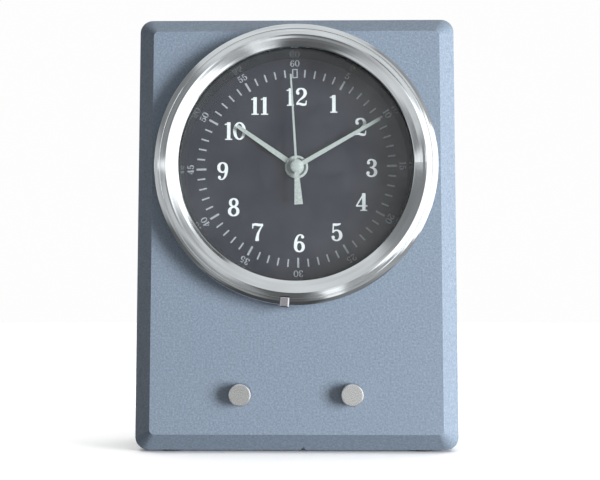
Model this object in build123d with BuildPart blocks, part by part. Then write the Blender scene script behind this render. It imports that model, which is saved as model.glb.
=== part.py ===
from build123d import *
import math
import os

os.makedirs("parts", exist_ok=True)

# ---------------------------------------------------------------- dimensions
# Depths are measured from the flat front face of the case, positive to the rear.
case_w = 150.0
case_h = 203.3
foot_out = 0.8
case_mid = foot_out + case_h / 2
corner_r = 6.0
bevel_w = 7.9
bevel_d = 8.7
wall = 3.0
front_wall = 3.5
shell_rear = 58.0
gasket_t = 1.0
cover_t = 3.0
cover_front = shell_rear + gasket_t
cover_rear = cover_front + cover_t
rear_most = 64.0
front_most = -10.0
y_mid = (front_most + rear_most) / 2

dial_z = foot_out + 131.65
dial_front = 6.6
dial_t = 0.8
dial_r = 56.0
carrier_front = dial_front + dial_t
carrier_t = 1.5
carrier_rear = carrier_front + carrier_t
carrier_post = 43.5
opening_r = 55.0

seat_r = 60.0
seat_top = -3.2
skirt_bore_r = 60.08
skirt_r = 63.0
lip_r = 53.9
ridge_r = 59.5
rim_r = 65.1
glass_r = 57.0
glass_front = -6.8
glass_t = 2.0
lug_angle = 4.6

button_x = 25.5
button_z = foot_out + 26.1
button_r = 5.05
button_front = -5.5
button_bore_r = 5.11
guide_rear = 8.2
board_front = 21.0
board_t = 1.6

plate_front = carrier_rear
plate_t = 1.6
back_plate_front = 31.2
back_plate_rear = back_plate_front + plate_t
plate_w = 68.0
plate_h = 76.0
pillars = [(-29.0, -33.0), (31.0, -33.0), (-29.0, 35.0), (31.0, 35.0)]

hour_angle = 305.0
minute_angle = 60.0
seconds_angle = 356.5

screw_x = 66.5
screw_rows = [foot_out + 8.6, case_mid, foot_out + case_h - 8.6]

box_z0, box_z1 = 33.0, 67.0
cell_r = 7.1
cell_rows = [42.2, 57.8]
door_z0, door_z1 = 34.4, 66.2
hinge_y = 62.2
hinge_z = 32.3

hang_x = 45.0
hang_z = 185.5


# ---------------------------------------------------------------- placing
def front(depth, z=0.0, x=0.0):
    """Plane facing the viewer at a depth: local x to the right, local y up."""
    return Plane(origin=(x, depth - y_mid, z), x_dir=(1, 0, 0), z_dir=(0, -1, 0))


def turned(z, x=0.0):
    """Half section for a turned piece on a fore-and-aft axis: local x is the radius, local y the depth."""
    return Plane(origin=(x, -y_mid, z), x_dir=(1, 0, 0), z_dir=(0, 0, 1))


def lug_plane(depth):
    """Plane facing the viewer about the dial centre, turned so that its lower half axis points at the grip lug."""
    a = math.radians(lug_angle)
    return Plane(origin=(0, depth - y_mid, dial_z), x_dir=(math.cos(a), 0, -math.sin(a)), z_dir=(0, -1, 0))


def axis_at(z, x=0.0):
    return Axis((x, 0, z), (0, 1, 0))


def ring_pts(count, radius, start=0.0):
    return [
        (
            radius * math.cos(math.radians(start + i * 360.0 / count)),
            radius * math.sin(math.radians(start + i * 360.0 / count)),
        )
        for i in range(count)
    ]


# ---------------------------------------------------------------- gear train
pressure = math.radians(30.0)


def involute(a):
    return math.tan(a) - a


def gear_points(centre, teeth, module, phase, play=0.06):
    """Stub-tooth involute outline about a centre, one tooth centred on the phase angle."""
    r = module * teeth / 2
    rb = r * math.cos(pressure)
    ra = r + 0.8 * module
    rf = r - 1.0 * module
    base = math.pi / (2 * teeth) - play / (2 * r) + involute(pressure)

    def half(rho):
        return base - involute(math.acos(rb / rho)) if rho > rb else base

    radii = [rf] + ([rb] if rb > rf + 0.05 else []) + [r, ra]
    pts = []
    for i in range(teeth):
        mid = phase + 2 * math.pi * i / teeth
        for rho in radii:
            pts.append((rho, mid - half(rho)))
        for rho in reversed(radii):
            pts.append((rho, mid + half(rho)))
    return [
        (centre[0] + rho * math.cos(t), centre[1] + rho * math.sin(t)) for rho, t in pts
    ]


def meshed(centre_a, teeth_a, phase_a, centre_b, teeth_b):
    """Phase that puts gear b in mesh with gear a."""
    phi = math.atan2(centre_b[1] - centre_a[1], centre_b[0] - centre_a[0])
    u = (phi - phase_a) * teeth_a / (2 * math.pi)
    return phi + math.pi - 2 * math.pi * (0.5 - u) / teeth_b


def polar(centre, distance, degrees):
    return (
        centre[0] + distance * math.cos(math.radians(degrees)),
        centre[1] + distance * math.sin(math.radians(degrees)),
    )


m_third = 9.0 / 17.0
m_centre = 0.5
m_cannon = 25.0 / 48.0
m_hour = 0.5
m_rotor = 0.4
m_inter = 0.5

pos_c = (0.0, 0.0)
pos_third = polar(pos_c, 18.0, 90.0)
pos_minute = polar(pos_c, 12.5, 200.0)
pos_knob = polar(pos_minute, 12.5, 215.0)
pos_inter = polar(pos_c, 18.0, -50.0)
pos_rotor = polar(pos_inter, 11.2, -20.0)

ph_centre_wheel = 0.0
ph_third_pinion = meshed(pos_c, 64, ph_centre_wheel, pos_third, 8)
ph_third_wheel = 0.0
ph_seconds_pinion = meshed(pos_third, 60, ph_third_wheel, pos_c, 8)
ph_seconds_wheel = 0.0
ph_inter_pinion = meshed(pos_c, 60, ph_seconds_wheel, pos_inter, 12)
ph_inter_wheel = 0.0
ph_rotor_pinion = meshed(pos_inter, 48, ph_inter_wheel, pos_rotor, 8)
ph_cannon = 0.0
ph_minute_wheel = meshed(pos_c, 12, ph_cannon, pos_minute, 36)
ph_minute_pinion = 0.0
ph_hour_wheel = meshed(pos_minute, 10, ph_minute_pinion, pos_c, 40)
ph_knob_pinion = meshed(pos_minute, 36, ph_minute_wheel, pos_knob, 12)


def blade(angle, r0, w0, r1, w1):
    """Tapered hand blade, angle clockwise from twelve."""
    a = math.radians(angle)
    dx, dy = math.sin(a), math.cos(a)
    nx, ny = math.cos(a), -math.sin(a)
    return [
        (dx * r0 - nx * w0 / 2, dy * r0 - ny * w0 / 2),
        (dx * r1 - nx * w1 / 2, dy * r1 - ny * w1 / 2),
        (dx * r1 + nx * w1 / 2, dy * r1 + ny * w1 / 2),
        (dx * r0 + nx * w0 / 2, dy * r0 + ny * w0 / 2),
    ]


# ================================================================ case
hollow_w0 = case_w - 2 * 8.8
hollow_h0 = case_h - 2 * 8.8
hollow_d = 9.86

with BuildPart() as front_housing:
    with BuildSketch(front(0.0, case_mid)):
        RectangleRounded(case_w - 2 * bevel_w, case_h - 2 * bevel_w, 2.2)
    with BuildSketch(front(bevel_d, case_mid)):
        RectangleRounded(case_w, case_h, corner_r)
    loft(ruled=True)
    with BuildSketch(front(bevel_d, case_mid)):
        RectangleRounded(case_w, case_h, corner_r)
    extrude(amount=-(shell_rear - bevel_d))
    with BuildSketch(front(front_wall, case_mid)):
        RectangleRounded(hollow_w0, hollow_h0, 2.0)
    with BuildSketch(front(hollow_d, case_mid)):
        RectangleRounded(case_w - 2 * wall, case_h - 2 * wall, 3.5)
    loft(ruled=True, mode=Mode.SUBTRACT)
    with BuildSketch(front(hollow_d, case_mid)):
        RectangleRounded(case_w - 2 * wall, case_h - 2 * wall, 3.5)
    extrude(amount=-(shell_rear - hollow_d), mode=Mode.SUBTRACT)
    # posts for the rear cover screws, dial carrier posts, button guides, switch board posts
    with BuildSketch(front(20.0, 0)):
        for row in screw_rows:
            with Locations((-67.0, row), (67.0, row)):
                Rectangle(11.0, 12.0)
    extrude(amount=-(shell_rear - 20.0))
    with BuildSketch(front(front_wall - 0.3, dial_z)):
        with Locations(*[(sx * carrier_post, sz * carrier_post) for sx in (-1, 1) for sz in (-1, 1)]):
            Circle(4.0)
    extrude(amount=-(carrier_front - front_wall + 0.3))
    with BuildSketch(front(front_wall - 0.3, button_z)):
        with Locations((-button_x, 0), (button_x, 0)):
            Circle(8.0)
    extrude(amount=-(guide_rear - front_wall + 0.3))
    with BuildSketch(front(front_wall - 0.3, button_z)):
        with Locations((-40, -6.5), (40, -6.5), (-40, 6.5), (40, 6.5)):
            Circle(2.8)
    extrude(amount=-(board_front - front_wall + 0.3))
    # openings and screw holes
    with BuildSketch(front(-1.0, dial_z)):
        Circle(opening_r)
    extrude(amount=-(front_wall + 2.0), mode=Mode.SUBTRACT)
    with BuildSketch(front(-1.0, button_z)):
        with Locations((-button_x, 0), (button_x, 0)):
            Circle(button_bore_r)
    extrude(amount=-(guide_rear + 2.0), mode=Mode.SUBTRACT)
    with BuildSketch(front(1.6, dial_z)):
        with Locations(*[(sx * carrier_post, sz * carrier_post) for sx in (-1, 1) for sz in (-1, 1)]):
            Circle(1.3)
    extrude(amount=-(carrier_front - 1.6 + 0.5), mode=Mode.SUBTRACT)
    with BuildSketch(front(13.0, button_z)):
        with Locations((-40, -6.5), (40, -6.5), (-40, 6.5), (40, 6.5)):
            Circle(1.05)
    extrude(amount=-(board_front - 13.0 + 0.5), mode=Mode.SUBTRACT)
    with BuildSketch(front(44.0, 0)):
        for row in screw_rows:
            with Locations((-screw_x, row), (screw_x, row)):
                Circle(1.95)
    extrude(amount=-(shell_rear - 44.0 + 0.5), mode=Mode.SUBTRACT)
    with BuildSketch(front(-0.5, dial_z)):
        with Locations(*ring_pts(6, 56.6, 30.0)):
            Circle(0.85)
    extrude(amount=-(3.3), mode=Mode.SUBTRACT)
    # foot recesses and the small vee notch in the lower edge
    with BuildSketch(Plane.XY.offset(foot_out)):
        with Locations((-58, 16 - y_mid), (58, 16 - y_mid), (-58, 49 - y_mid), (58, 49 - y_mid)):
            Circle(6.1)
    extrude(amount=1.2, mode=Mode.SUBTRACT)
    with BuildSketch(front(2.0, foot_out)):
        with BuildLine():
            Polyline((1.4, -0.5), (4.8, -0.5), (3.1, 1.5), close=True)
        make_face()
    extrude(amount=-16.0, mode=Mode.SUBTRACT)
front_housing.part.label = "front_housing"
export_step(front_housing.part, "parts/front_housing.step")

with BuildPart() as rear_gasket:
    with BuildSketch(front(shell_rear, case_mid)):
        RectangleRounded(149.2, 202.5, 5.6)
        RectangleRounded(144.6, 197.9, 3.3, mode=Mode.SUBTRACT)
        for row in screw_rows:
            with Locations((-67.6, row - case_mid), (67.6, row - case_mid)):
                Rectangle(12.0, 9.6)
            with Locations((-screw_x, row - case_mid), (screw_x, row - case_mid)):
                Circle(2.3, mode=Mode.SUBTRACT)
    extrude(amount=-gasket_t)
rear_gasket.part.label = "rear_gasket"
export_step(rear_gasket.part, "parts/rear_gasket.step")

with BuildPart() as rear_cover:
    with BuildSketch(front(cover_front, case_mid)):
        RectangleRounded(149.4, 202.7, 5.7)
    extrude(amount=-cover_t)
    chamfer(rear_cover.faces().sort_by(Axis.Y)[-1].outer_wire().edges(), 0.7)
    # battery opening with two notches for the door's knuckles
    with BuildSketch(front(cover_front - 0.5, 0)):
        with Locations((0, (34.0 + 66.6) / 2)):
            Rectangle(57.2, 32.6)
        with Locations((-18.0, 32.2), (18.0, 32.2)):
            Rectangle(8.6, 4.4)
    extrude(amount=-(cover_t + 1.0), mode=Mode.SUBTRACT)
    # fixed hinge knuckles
    for x0, x1 in ((-30.0, -22.3), (-13.7, 13.7), (22.3, 30.0)):
        with BuildSketch(Plane(origin=(x0, hinge_y - y_mid, hinge_z), x_dir=(0, 1, 0), z_dir=(1, 0, 0))):
            Circle(1.8)
        extrude(amount=x1 - x0)
    with BuildSketch(Plane(origin=(-31, hinge_y - y_mid, hinge_z), x_dir=(0, 1, 0), z_dir=(1, 0, 0))):
        Circle(0.82)
    extrude(amount=62.0, mode=Mode.SUBTRACT)
    # screw holes and hanger recesses
    with BuildSketch(front(cover_front - 0.5, 0)):
        for row in screw_rows:
            with Locations((-screw_x, row), (screw_x, row)):
                Circle(2.2)
        with Locations((-hang_x, hang_z), (hang_x, hang_z)):
            SlotOverall(20.0, 11.0, rotation=90)
        for hx in (-hang_x, hang_x):
            with Locations(*[(hx + sx * 8.5, hang_z + sz * 12.0) for sx in (-1, 1) for sz in (-1, 1)]):
                Circle(1.55)
    extrude(amount=-(cover_t + 1.0), mode=Mode.SUBTRACT)
    with BuildSketch(front(cover_front - 0.5, 50.0)):
        with Locations((-34, -13), (34, -13), (-34, 13), (34, 13)):
            Circle(0.95)
    extrude(amount=-2.5, mode=Mode.SUBTRACT)
rear_cover.part.label = "rear_cover"
export_step(rear_cover.part, "parts/rear_cover.step")

with BuildPart() as rear_screws:
    with BuildSketch(front(46.0, 0)):
        for row in screw_rows:
            with Locations((-screw_x, row), (screw_x, row)):
                Circle(1.9)
    extrude(amount=-(cover_rear - 46.0 + 0.2))
    with BuildSketch(front(cover_rear, 0)):
        for row in screw_rows:
            with Locations((-screw_x, row), (screw_x, row)):
                Circle(3.8)
    extrude(amount=-1.8)
    fillet(rear_screws.edges().group_by(Axis.Y)[-1], 0.8)
    with BuildSketch(front(cover_rear + 0.9, 0)):
        for row in screw_rows:
            with Locations((-screw_x, row), (screw_x, row)):
                Rectangle(4.4, 0.9)
                Rectangle(0.9, 4.4)
    extrude(amount=-2.0, mode=Mode.SUBTRACT)
rear_screws.part.label = "rear_screws"
export_step(rear_screws.part, "parts/rear_screws.step")

with BuildPart() as feet:
    with BuildSketch(Plane.XY):
        with Locations((-58, 16 - y_mid), (58, 16 - y_mid), (-58, 49 - y_mid), (58, 49 - y_mid)):
            Circle(6.0)
    extrude(amount=2.0)
    chamfer(feet.edges().group_by(Axis.Z)[0], 0.4)
feet.part.label = "feet"
export_step(feet.part, "parts/feet.step")

with BuildPart() as hanger_plates:
    with BuildSketch(front(cover_rear, 0)):
        with Locations((-hang_x, hang_z), (hang_x, hang_z)):
            RectangleRounded(24.0, 30.0, 3.0)
        with Locations((-hang_x, hang_z - 4.5), (hang_x, hang_z - 4.5)):
            Circle(4.5, mode=Mode.SUBTRACT)
        with Locations((-hang_x, hang_z), (hang_x, hang_z)):
            SlotOverall(14.0, 5.0, rotation=90, mode=Mode.SUBTRACT)
        for hx in (-hang_x, hang_x):
            with Locations(*[(hx + sx * 8.5, hang_z + sz * 12.0) for sx in (-1, 1) for sz in (-1, 1)]):
                Circle(1.55, mode=Mode.SUBTRACT)
    extrude(amount=-2.0)
    for hx in (-hang_x, hang_x):
        for sx in (-1, 1):
            for sz in (-1, 1):
                cx0, cz0 = hx + sx * 8.5, hang_z + sz * 12.0
                with BuildSketch(turned(cz0, cx0)):
                    with BuildLine():
                        Polyline((0, 62.9), (1.55, 62.9), (2.75, 64.1), (0, 64.1), close=True)
                    make_face()
                revolve(axis=axis_at(cz0, cx0), mode=Mode.SUBTRACT)
hanger_plates.part.label = "hanger_plates"
export_step(hanger_plates.part, "parts/hanger_plates.step")

with BuildPart() as hanger_rivets:
    for hx in (-hang_x, hang_x):
        for sx in (-1, 1):
            for sz in (-1, 1):
                cx0, cz0 = hx + sx * 8.5, hang_z + sz * 12.0
                with BuildSketch(turned(cz0, cx0)):
                    with BuildLine():
                        Polyline(
                            (0, 57.9), (2.4, 57.9), (2.4, 59.0), (1.5, 59.0), (1.5, 62.95),
                            (2.5, 63.95), (0, 63.95), close=True,
                        )
                    make_face()
                revolve(axis=axis_at(cz0, cx0))
hanger_rivets.part.label = "hanger_rivets"
export_step(hanger_rivets.part, "parts/hanger_rivets.step")

# ================================================================ front glazing
with BuildPart() as bezel_seat_ring:
    with BuildSketch(turned(dial_z)):
        with BuildLine():
            Polyline(
                (54.6, 0), (54.6, -2.0), (58.2, -2.0), (58.2, seat_top + 0.3), (58.5, seat_top),
                (seat_r - 0.3, seat_top), (seat_r, seat_top + 0.3), (seat_r, 0), close=True,
            )
        make_face()
    revolve(axis=axis_at(dial_z))
    with BuildSketch(front(-3.0, dial_z)):
        with Locations(*ring_pts(6, 56.6, 30.0)):
            Circle(0.85)
    extrude(amount=-4.0, mode=Mode.SUBTRACT)
bezel_seat_ring.part.label = "bezel_seat_ring"
export_step(bezel_seat_ring.part, "parts/bezel_seat_ring.step")

with BuildPart() as seat_screws:
    with BuildSketch(front(-2.0, dial_z)):
        with Locations(*ring_pts(6, 56.6, 30.0)):
            Circle(0.8)
    extrude(amount=-4.5)
    with BuildSketch(front(-2.7, dial_z)):
        with Locations(*ring_pts(6, 56.6, 30.0)):
            Circle(1.35)
    extrude(amount=-0.7)
    with BuildSketch(front(-2.8, dial_z)):
        with Locations(*ring_pts(6, 56.6, 30.0)):
            Rectangle(3.0, 0.35)
    extrude(amount=-0.4, mode=Mode.SUBTRACT)
seat_screws.part.label = "seat_screws"
export_step(seat_screws.part, "parts/seat_screws.step")

with BuildPart() as bezel_gasket:
    with BuildSketch(turned(dial_z)):
        with BuildLine():
            Polyline((60.4, 0), (60.4, -0.85), (62.7, -0.85), (62.7, 0), close=True)
        make_face()
    revolve(axis=axis_at(dial_z))
bezel_gasket.part.label = "bezel_gasket"
export_step(bezel_gasket.part, "parts/bezel_gasket.step")

with BuildPart() as bezel_ring:
    with BuildSketch(turned(dial_z)):
        with BuildLine():
            Polyline(
                (lip_r + 0.25, -7.4), (lip_r, -7.75), (lip_r + 0.05, -8.35), (lip_r + 0.4, -8.6),
                (55.4, -8.96), (56.6, -9.3), (57.8, -9.6), (58.8, -9.82), (59.3, -9.95),
                (ridge_r, front_most), (59.75, -9.96), (60.2, -9.88), (61.0, -9.66), (61.9, -9.36),
                (62.05, -9.1), (62.25, -9.05), (62.45, -9.2), (63.4, -8.85), (64.4, -8.3),
                (64.9, -7.8), (rim_r, -7.3), (65.0, -6.7), (64.6, -6.2), (skirt_r, -5.4),
                (skirt_r, -1.2), (skirt_r - 0.25, -0.95), (skirt_bore_r, -0.95), (skirt_bore_r, -3.4),
                (57.4, -3.4), (57.4, -3.9), (58.1, -3.9), (58.1, -4.7), (57.4, -4.7), (57.4, -7.4),
                close=True,
            )
        make_face()
    revolve(axis=axis_at(dial_z))
    # seat for the grip lug
    with BuildSketch(lug_plane(-10.5)):
        with Locations((0, -63.7)):
            Rectangle(4.5, 5.1)
    extrude(amount=-7.5, mode=Mode.SUBTRACT)
bezel_ring.part.label = "bezel_ring"
export_step(bezel_ring.part, "parts/bezel_ring.step")

with BuildPart() as bezel_lug:
    with BuildSketch(lug_plane(-9.4)):
        with Locations((0, -63.7)):
            Rectangle(4.4, 5.0)
    extrude(amount=-6.3)
    fillet(bezel_lug.edges().group_by(Axis.Y)[0], 0.8)
bezel_lug.part.label = "bezel_lug"
export_step(bezel_lug.part, "parts/bezel_lug.step")

with BuildPart() as glass:
    with BuildSketch(front(glass_front, dial_z)):
        Circle(glass_r)
    extrude(amount=-glass_t)
    chamfer(glass.edges(), 0.25)
glass.part.label = "glass"
export_step(glass.part, "parts/glass.step")

with BuildPart() as glass_gasket:
    with BuildSketch(turned(dial_z)):
        with BuildLine():
            Polyline((54.7, -6.8), (54.7, -7.3), (56.9, -7.3), (56.9, -6.8), close=True)
        make_face()
    revolve(axis=axis_at(dial_z))
glass_gasket.part.label = "glass_gasket"
export_step(glass_gasket.part, "parts/glass_gasket.step")

with BuildPart() as glass_retainer:
    with BuildSketch(turned(dial_z)):
        with BuildLine():
            Polyline((55.8, -4.6), (58.05, -4.6), (58.05, -4.0), (55.8, -4.0), close=True)
        make_face()
    revolve(axis=axis_at(dial_z))
    with BuildSketch(front(-6.0, dial_z)):
        with Locations((0, 57)):
            Rectangle(7.0, 6.0)
    extrude(amount=-4.0, mode=Mode.SUBTRACT)
glass_retainer.part.label = "glass_retainer"
export_step(glass_retainer.part, "parts/glass_retainer.step")

with BuildPart() as reflector_ring:
    with BuildSketch(turned(dial_z)):
        with BuildLine():
            Polyline(
                (52.4, dial_front), (53.3, -4.1), (53.5, -4.3), (54.2, -4.3), (54.2, -2.9), (57.7, -2.9),
                (57.7, -2.75), (57.7, -2.0), (54.4, -2.0), (54.4, 5.6), (53.4, dial_front), close=True,
            )
        make_face()
    revolve(axis=axis_at(dial_z))
    with BuildSketch(front(-3.5, dial_z)):
        with Locations(*ring_pts(6, 56.6, 30.0)):
            Circle(1.6)
    extrude(amount=-2.0, mode=Mode.SUBTRACT)
reflector_ring.part.label = "reflector_ring"
export_step(reflector_ring.part, "parts/reflector_ring.step")

# ================================================================ dial and hands
with BuildPart() as dial_plate:
    with BuildSketch(front(dial_front, dial_z)):
        Circle(dial_r)
        Circle(4.2, mode=Mode.SUBTRACT)
    extrude(amount=-dial_t)
dial_plate.part.label = "dial_plate"
export_step(dial_plate.part, "parts/dial_plate.step")

with BuildPart() as dial_carrier:
    with BuildSketch(front(carrier_front, dial_z)):
        Circle(58.0)
        RectangleRounded(96.0, 96.0, 5.0)
        Circle(4.2, mode=Mode.SUBTRACT)
        with Locations(*[(sx * carrier_post, sz * carrier_post) for sx in (-1, 1) for sz in (-1, 1)]):
            Circle(1.45, mode=Mode.SUBTRACT)
        with Locations(*pillars):
            Circle(1.05, mode=Mode.SUBTRACT)
    extrude(amount=-carrier_t)
dial_carrier.part.label = "dial_carrier"
export_step(dial_carrier.part, "parts/dial_carrier.step")

with BuildPart() as carrier_screws:
    posts = [(sx * carrier_post, sz * carrier_post) for sx in (-1, 1) for sz in (-1, 1)]
    with BuildSketch(front(2.2, dial_z)):
        with Locations(*posts):
            Circle(1.25)
    extrude(amount=-(carrier_rear - 2.2 + 0.2))
    with BuildSketch(front(carrier_rear, dial_z)):
        with Locations(*posts):
            Circle(2.8)
    extrude(amount=-1.8)
    with BuildSketch(front(carrier_rear + 1.0, dial_z)):
        with Locations(*posts):
            Rectangle(3.2, 0.7)
            Rectangle(0.7, 3.2)
    extrude(amount=-2.0, mode=Mode.SUBTRACT)
carrier_screws.part.label = "carrier_screws"
export_step(carrier_screws.part, "parts/carrier_screws.step")

with BuildPart() as hour_hand:
    with BuildSketch(front(4.5, dial_z)):
        with BuildLine():
            Polyline(*blade(hour_angle, 4.8, 2.6, 34.0, 1.6), close=True)
        make_face()
    extrude(amount=-0.5)
    with BuildSketch(turned(dial_z)):
        with BuildLine():
            Polyline(
                (2.62, 5.4), (2.62, 4.9), (4.3, 4.9), (4.3, 4.2), (4.45, 4.05), (5.3, 4.05), (5.45, 4.2),
                (5.45, 5.4), close=True,
            )
        make_face()
    revolve(axis=axis_at(dial_z))
hour_hand.part.label = "hour_hand"
export_step(hour_hand.part, "parts/hour_hand.step")

with BuildPart() as minute_hand:
    with BuildSketch(front(3.0, dial_z)):
        with BuildLine():
            Polyline(*blade(minute_angle, 2.5, 2.1, 45.2, 1.5), close=True)
        make_face()
    extrude(amount=-0.5)
    with BuildSketch(turned(dial_z)):
        with BuildLine():
            Polyline((1.52, 3.7), (1.52, 2.7), (3.3, 2.7), (3.5, 2.9), (3.5, 3.7), close=True)
        make_face()
    revolve(axis=axis_at(dial_z))
minute_hand.part.label = "minute_hand"
export_step(minute_hand.part, "parts/minute_hand.step")

with BuildPart() as seconds_hand:
    with BuildSketch(front(1.4, dial_z)):
        with BuildLine():
            Polyline(*blade(seconds_angle, 0.0, 1.1, 43.8, 0.8), close=True)
        make_face()
        with BuildLine():
            Polyline(*blade(seconds_angle + 180.0, 0.0, 1.7, 18.0, 4.0), close=True)
        make_face()
    extrude(amount=-0.4)
    with BuildSketch(turned(dial_z)):
        with BuildLine():
            Polyline(
                (0, 1.0), (0, 0.62), (1.2, 0.68), (2.1, 0.86), (2.75, 1.12), (3.05, 1.4), (3.15, 1.7),
                (3.15, 2.0), (0.61, 2.0), (0.61, 1.0), close=True,
            )
        make_face()
    revolve(axis=axis_at(dial_z))
    with BuildSketch(front(2.1, dial_z)):
        Circle(0.61)
    extrude(amount=1.1, mode=Mode.SUBTRACT)
seconds_hand.part.label = "seconds_hand"
export_step(seconds_hand.part, "parts/seconds_hand.step")

# ================================================================ movement
with BuildPart() as movement_front_plate:
    with BuildSketch(front(plate_front, dial_z)):
        with Locations((1, 1)):
            RectangleRounded(plate_w, plate_h, 4.0)
    extrude(amount=-plate_t)
    with BuildSketch(front(6.0, dial_z)):
        Circle(4.0)
    extrude(amount=-(plate_front - 6.0 + 0.3))
    with BuildSketch(front(plate_front + plate_t - 0.3, dial_z)):
        with Locations(pos_minute):
            Circle(0.8)
    extrude(amount=-(14.6 - plate_front - plate_t + 0.3))
    with BuildSketch(front(5.0, dial_z)):
        Circle(2.65)
        with Locations(*pillars):
            Circle(1.15)
        with Locations(pos_third, pos_inter, pos_rotor):
            Circle(0.45)
        with Locations(pos_knob):
            Circle(1.05)
    extrude(amount=-6.0, mode=Mode.SUBTRACT)
movement_front_plate.part.label = "movement_front_plate"
export_step(movement_front_plate.part, "parts/movement_front_plate.step")

with BuildPart() as movement_rear_plate:
    with BuildSketch(front(back_plate_front, dial_z)):
        with Locations((1, 1)):
            RectangleRounded(plate_w, plate_h, 4.0)
        Circle(0.65, mode=Mode.SUBTRACT)
        with Locations(*pillars):
            Circle(1.15, mode=Mode.SUBTRACT)
        with Locations(pos_third, pos_inter, pos_rotor):
            Circle(0.45, mode=Mode.SUBTRACT)
        with Locations(pos_knob):
            Circle(1.55, mode=Mode.SUBTRACT)
    extrude(amount=-plate_t)
movement_rear_plate.part.label = "movement_rear_plate"
export_step(movement_rear_plate.part, "parts/movement_rear_plate.step")

with BuildPart() as movement_pillars:
    with BuildSketch(front(plate_front + plate_t, dial_z)):
        with Locations(*pillars):
            Circle(2.6)
            Circle(1.15, mode=Mode.SUBTRACT)
    extrude(amount=-(back_plate_front - plate_front - plate_t))
movement_pillars.part.label = "movement_pillars"
export_step(movement_pillars.part, "parts/movement_pillars.step")

with BuildPart() as movement_screws:
    with BuildSketch(front(7.6, dial_z)):
        with Locations(*pillars):
            Circle(1.0)
    extrude(amount=-(back_plate_rear - 7.6 + 0.2))
    with BuildSketch(front(back_plate_rear, dial_z)):
        with Locations(*pillars):
            Circle(2.2)
    extrude(amount=-1.6)
    with BuildSketch(front(back_plate_rear + 0.9, dial_z)):
        with Locations(*pillars):
            Rectangle(5.0, 0.6)
    extrude(amount=-2.0, mode=Mode.SUBTRACT)
movement_screws.part.label = "movement_screws"
export_step(movement_screws.part, "parts/movement_screws.step")

with BuildPart() as hour_wheel:
    with BuildSketch(front(11.2, dial_z)):
        with BuildLine():
            Polyline(*gear_points(pos_c, 40, m_hour, ph_hour_wheel), close=True)
        make_face()
        with Locations(*ring_pts(4, 6.0, 45.0)):
            Circle(2.1, mode=Mode.SUBTRACT)
    extrude(amount=-1.0)
    with BuildSketch(front(4.6, dial_z)):
        Circle(2.6)
    extrude(amount=-(12.2 - 4.6))
    with BuildSketch(front(4.0, dial_z)):
        Circle(1.55)
    extrude(amount=-10.0, mode=Mode.SUBTRACT)
hour_wheel.part.label = "hour_wheel"
export_step(hour_wheel.part, "parts/hour_wheel.step")

with BuildPart() as cannon_pinion:
    with BuildSketch(front(13.0, dial_z)):
        with BuildLine():
            Polyline(*gear_points(pos_c, 12, m_cannon, ph_cannon), close=True)
        make_face()
    extrude(amount=-1.4)
    with BuildSketch(front(2.7, dial_z)):
        Circle(1.5)
    extrude(amount=-(14.4 - 2.7))
    with BuildSketch(front(2.0, dial_z)):
        Circle(1.07)
    extrude(amount=-14.0, mode=Mode.SUBTRACT)
cannon_pinion.part.label = "cannon_pinion"
export_step(cannon_pinion.part, "parts/cannon_pinion.step")

with BuildPart() as centre_wheel:
    with BuildSketch(front(15.4, dial_z)):
        with BuildLine():
            Polyline(*gear_points(pos_c, 64, m_centre, ph_centre_wheel), close=True)
        make_face()
        with Locations(*ring_pts(5, 9.2, 20.0)):
            Circle(3.6, mode=Mode.SUBTRACT)
    extrude(amount=-1.0)
    with BuildSketch(front(15.0, dial_z)):
        Circle(2.6)
    extrude(amount=-1.8)
    with BuildSketch(front(2.6, dial_z)):
        Circle(1.05)
    extrude(amount=-(16.8 - 2.6))
    with BuildSketch(front(2.0, dial_z)):
        Circle(0.66)
    extrude(amount=-16.0, mode=Mode.SUBTRACT)
centre_wheel.part.label = "centre_wheel"
export_step(centre_wheel.part, "parts/centre_wheel.step")

with BuildPart() as minute_wheel:
    with BuildSketch(front(13.2, dial_z)):
        with BuildLine():
            Polyline(*gear_points(pos_minute, 36, m_cannon, ph_minute_wheel), close=True)
        make_face()
        with Locations(pos_minute):
            with Locations(*ring_pts(4, 5.4, 10.0)):
                Circle(1.9, mode=Mode.SUBTRACT)
    extrude(amount=-1.0)
    with BuildSketch(front(11.0, dial_z)):
        with BuildLine():
            Polyline(*gear_points(pos_minute, 10, m_hour, ph_minute_pinion), close=True)
        make_face()
    extrude(amount=-1.6)
    with BuildSketch(front(12.4, dial_z)):
        with Locations(pos_minute):
            Circle(1.8)
    extrude(amount=-2.0)
    with BuildSketch(front(10.0, dial_z)):
        with Locations(pos_minute):
            Circle(0.85)
    extrude(amount=-6.0, mode=Mode.SUBTRACT)
minute_wheel.part.label = "minute_wheel"
export_step(minute_wheel.part, "parts/minute_wheel.step")

with BuildPart() as third_wheel:
    with BuildSketch(front(18.2, dial_z)):
        with BuildLine():
            Polyline(*gear_points(pos_third, 60, m_third, ph_third_wheel), close=True)
        make_face()
        with Locations(pos_third):
            with Locations(*ring_pts(5, 9.0, 0.0)):
                Circle(3.6, mode=Mode.SUBTRACT)
    extrude(amount=-0.8)
    with BuildSketch(front(15.0, dial_z)):
        with BuildLine():
            Polyline(*gear_points(pos_third, 8, m_centre, ph_third_pinion), close=True)
        make_face()
    extrude(amount=-1.8)
    with BuildSketch(front(16.6, dial_z)):
        with Locations(pos_third):
            Circle(1.4)
    extrude(amount=-3.0)
    with BuildSketch(front(10.8, dial_z)):
        with Locations(pos_third):
            Circle(0.7)
    extrude(amount=-20.1)
    with BuildSketch(front(9.1, dial_z)):
        with Locations(pos_third):
            Circle(0.4)
    extrude(amount=-23.5)
third_wheel.part.label = "third_wheel"
export_step(third_wheel.part, "parts/third_wheel.step")

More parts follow.
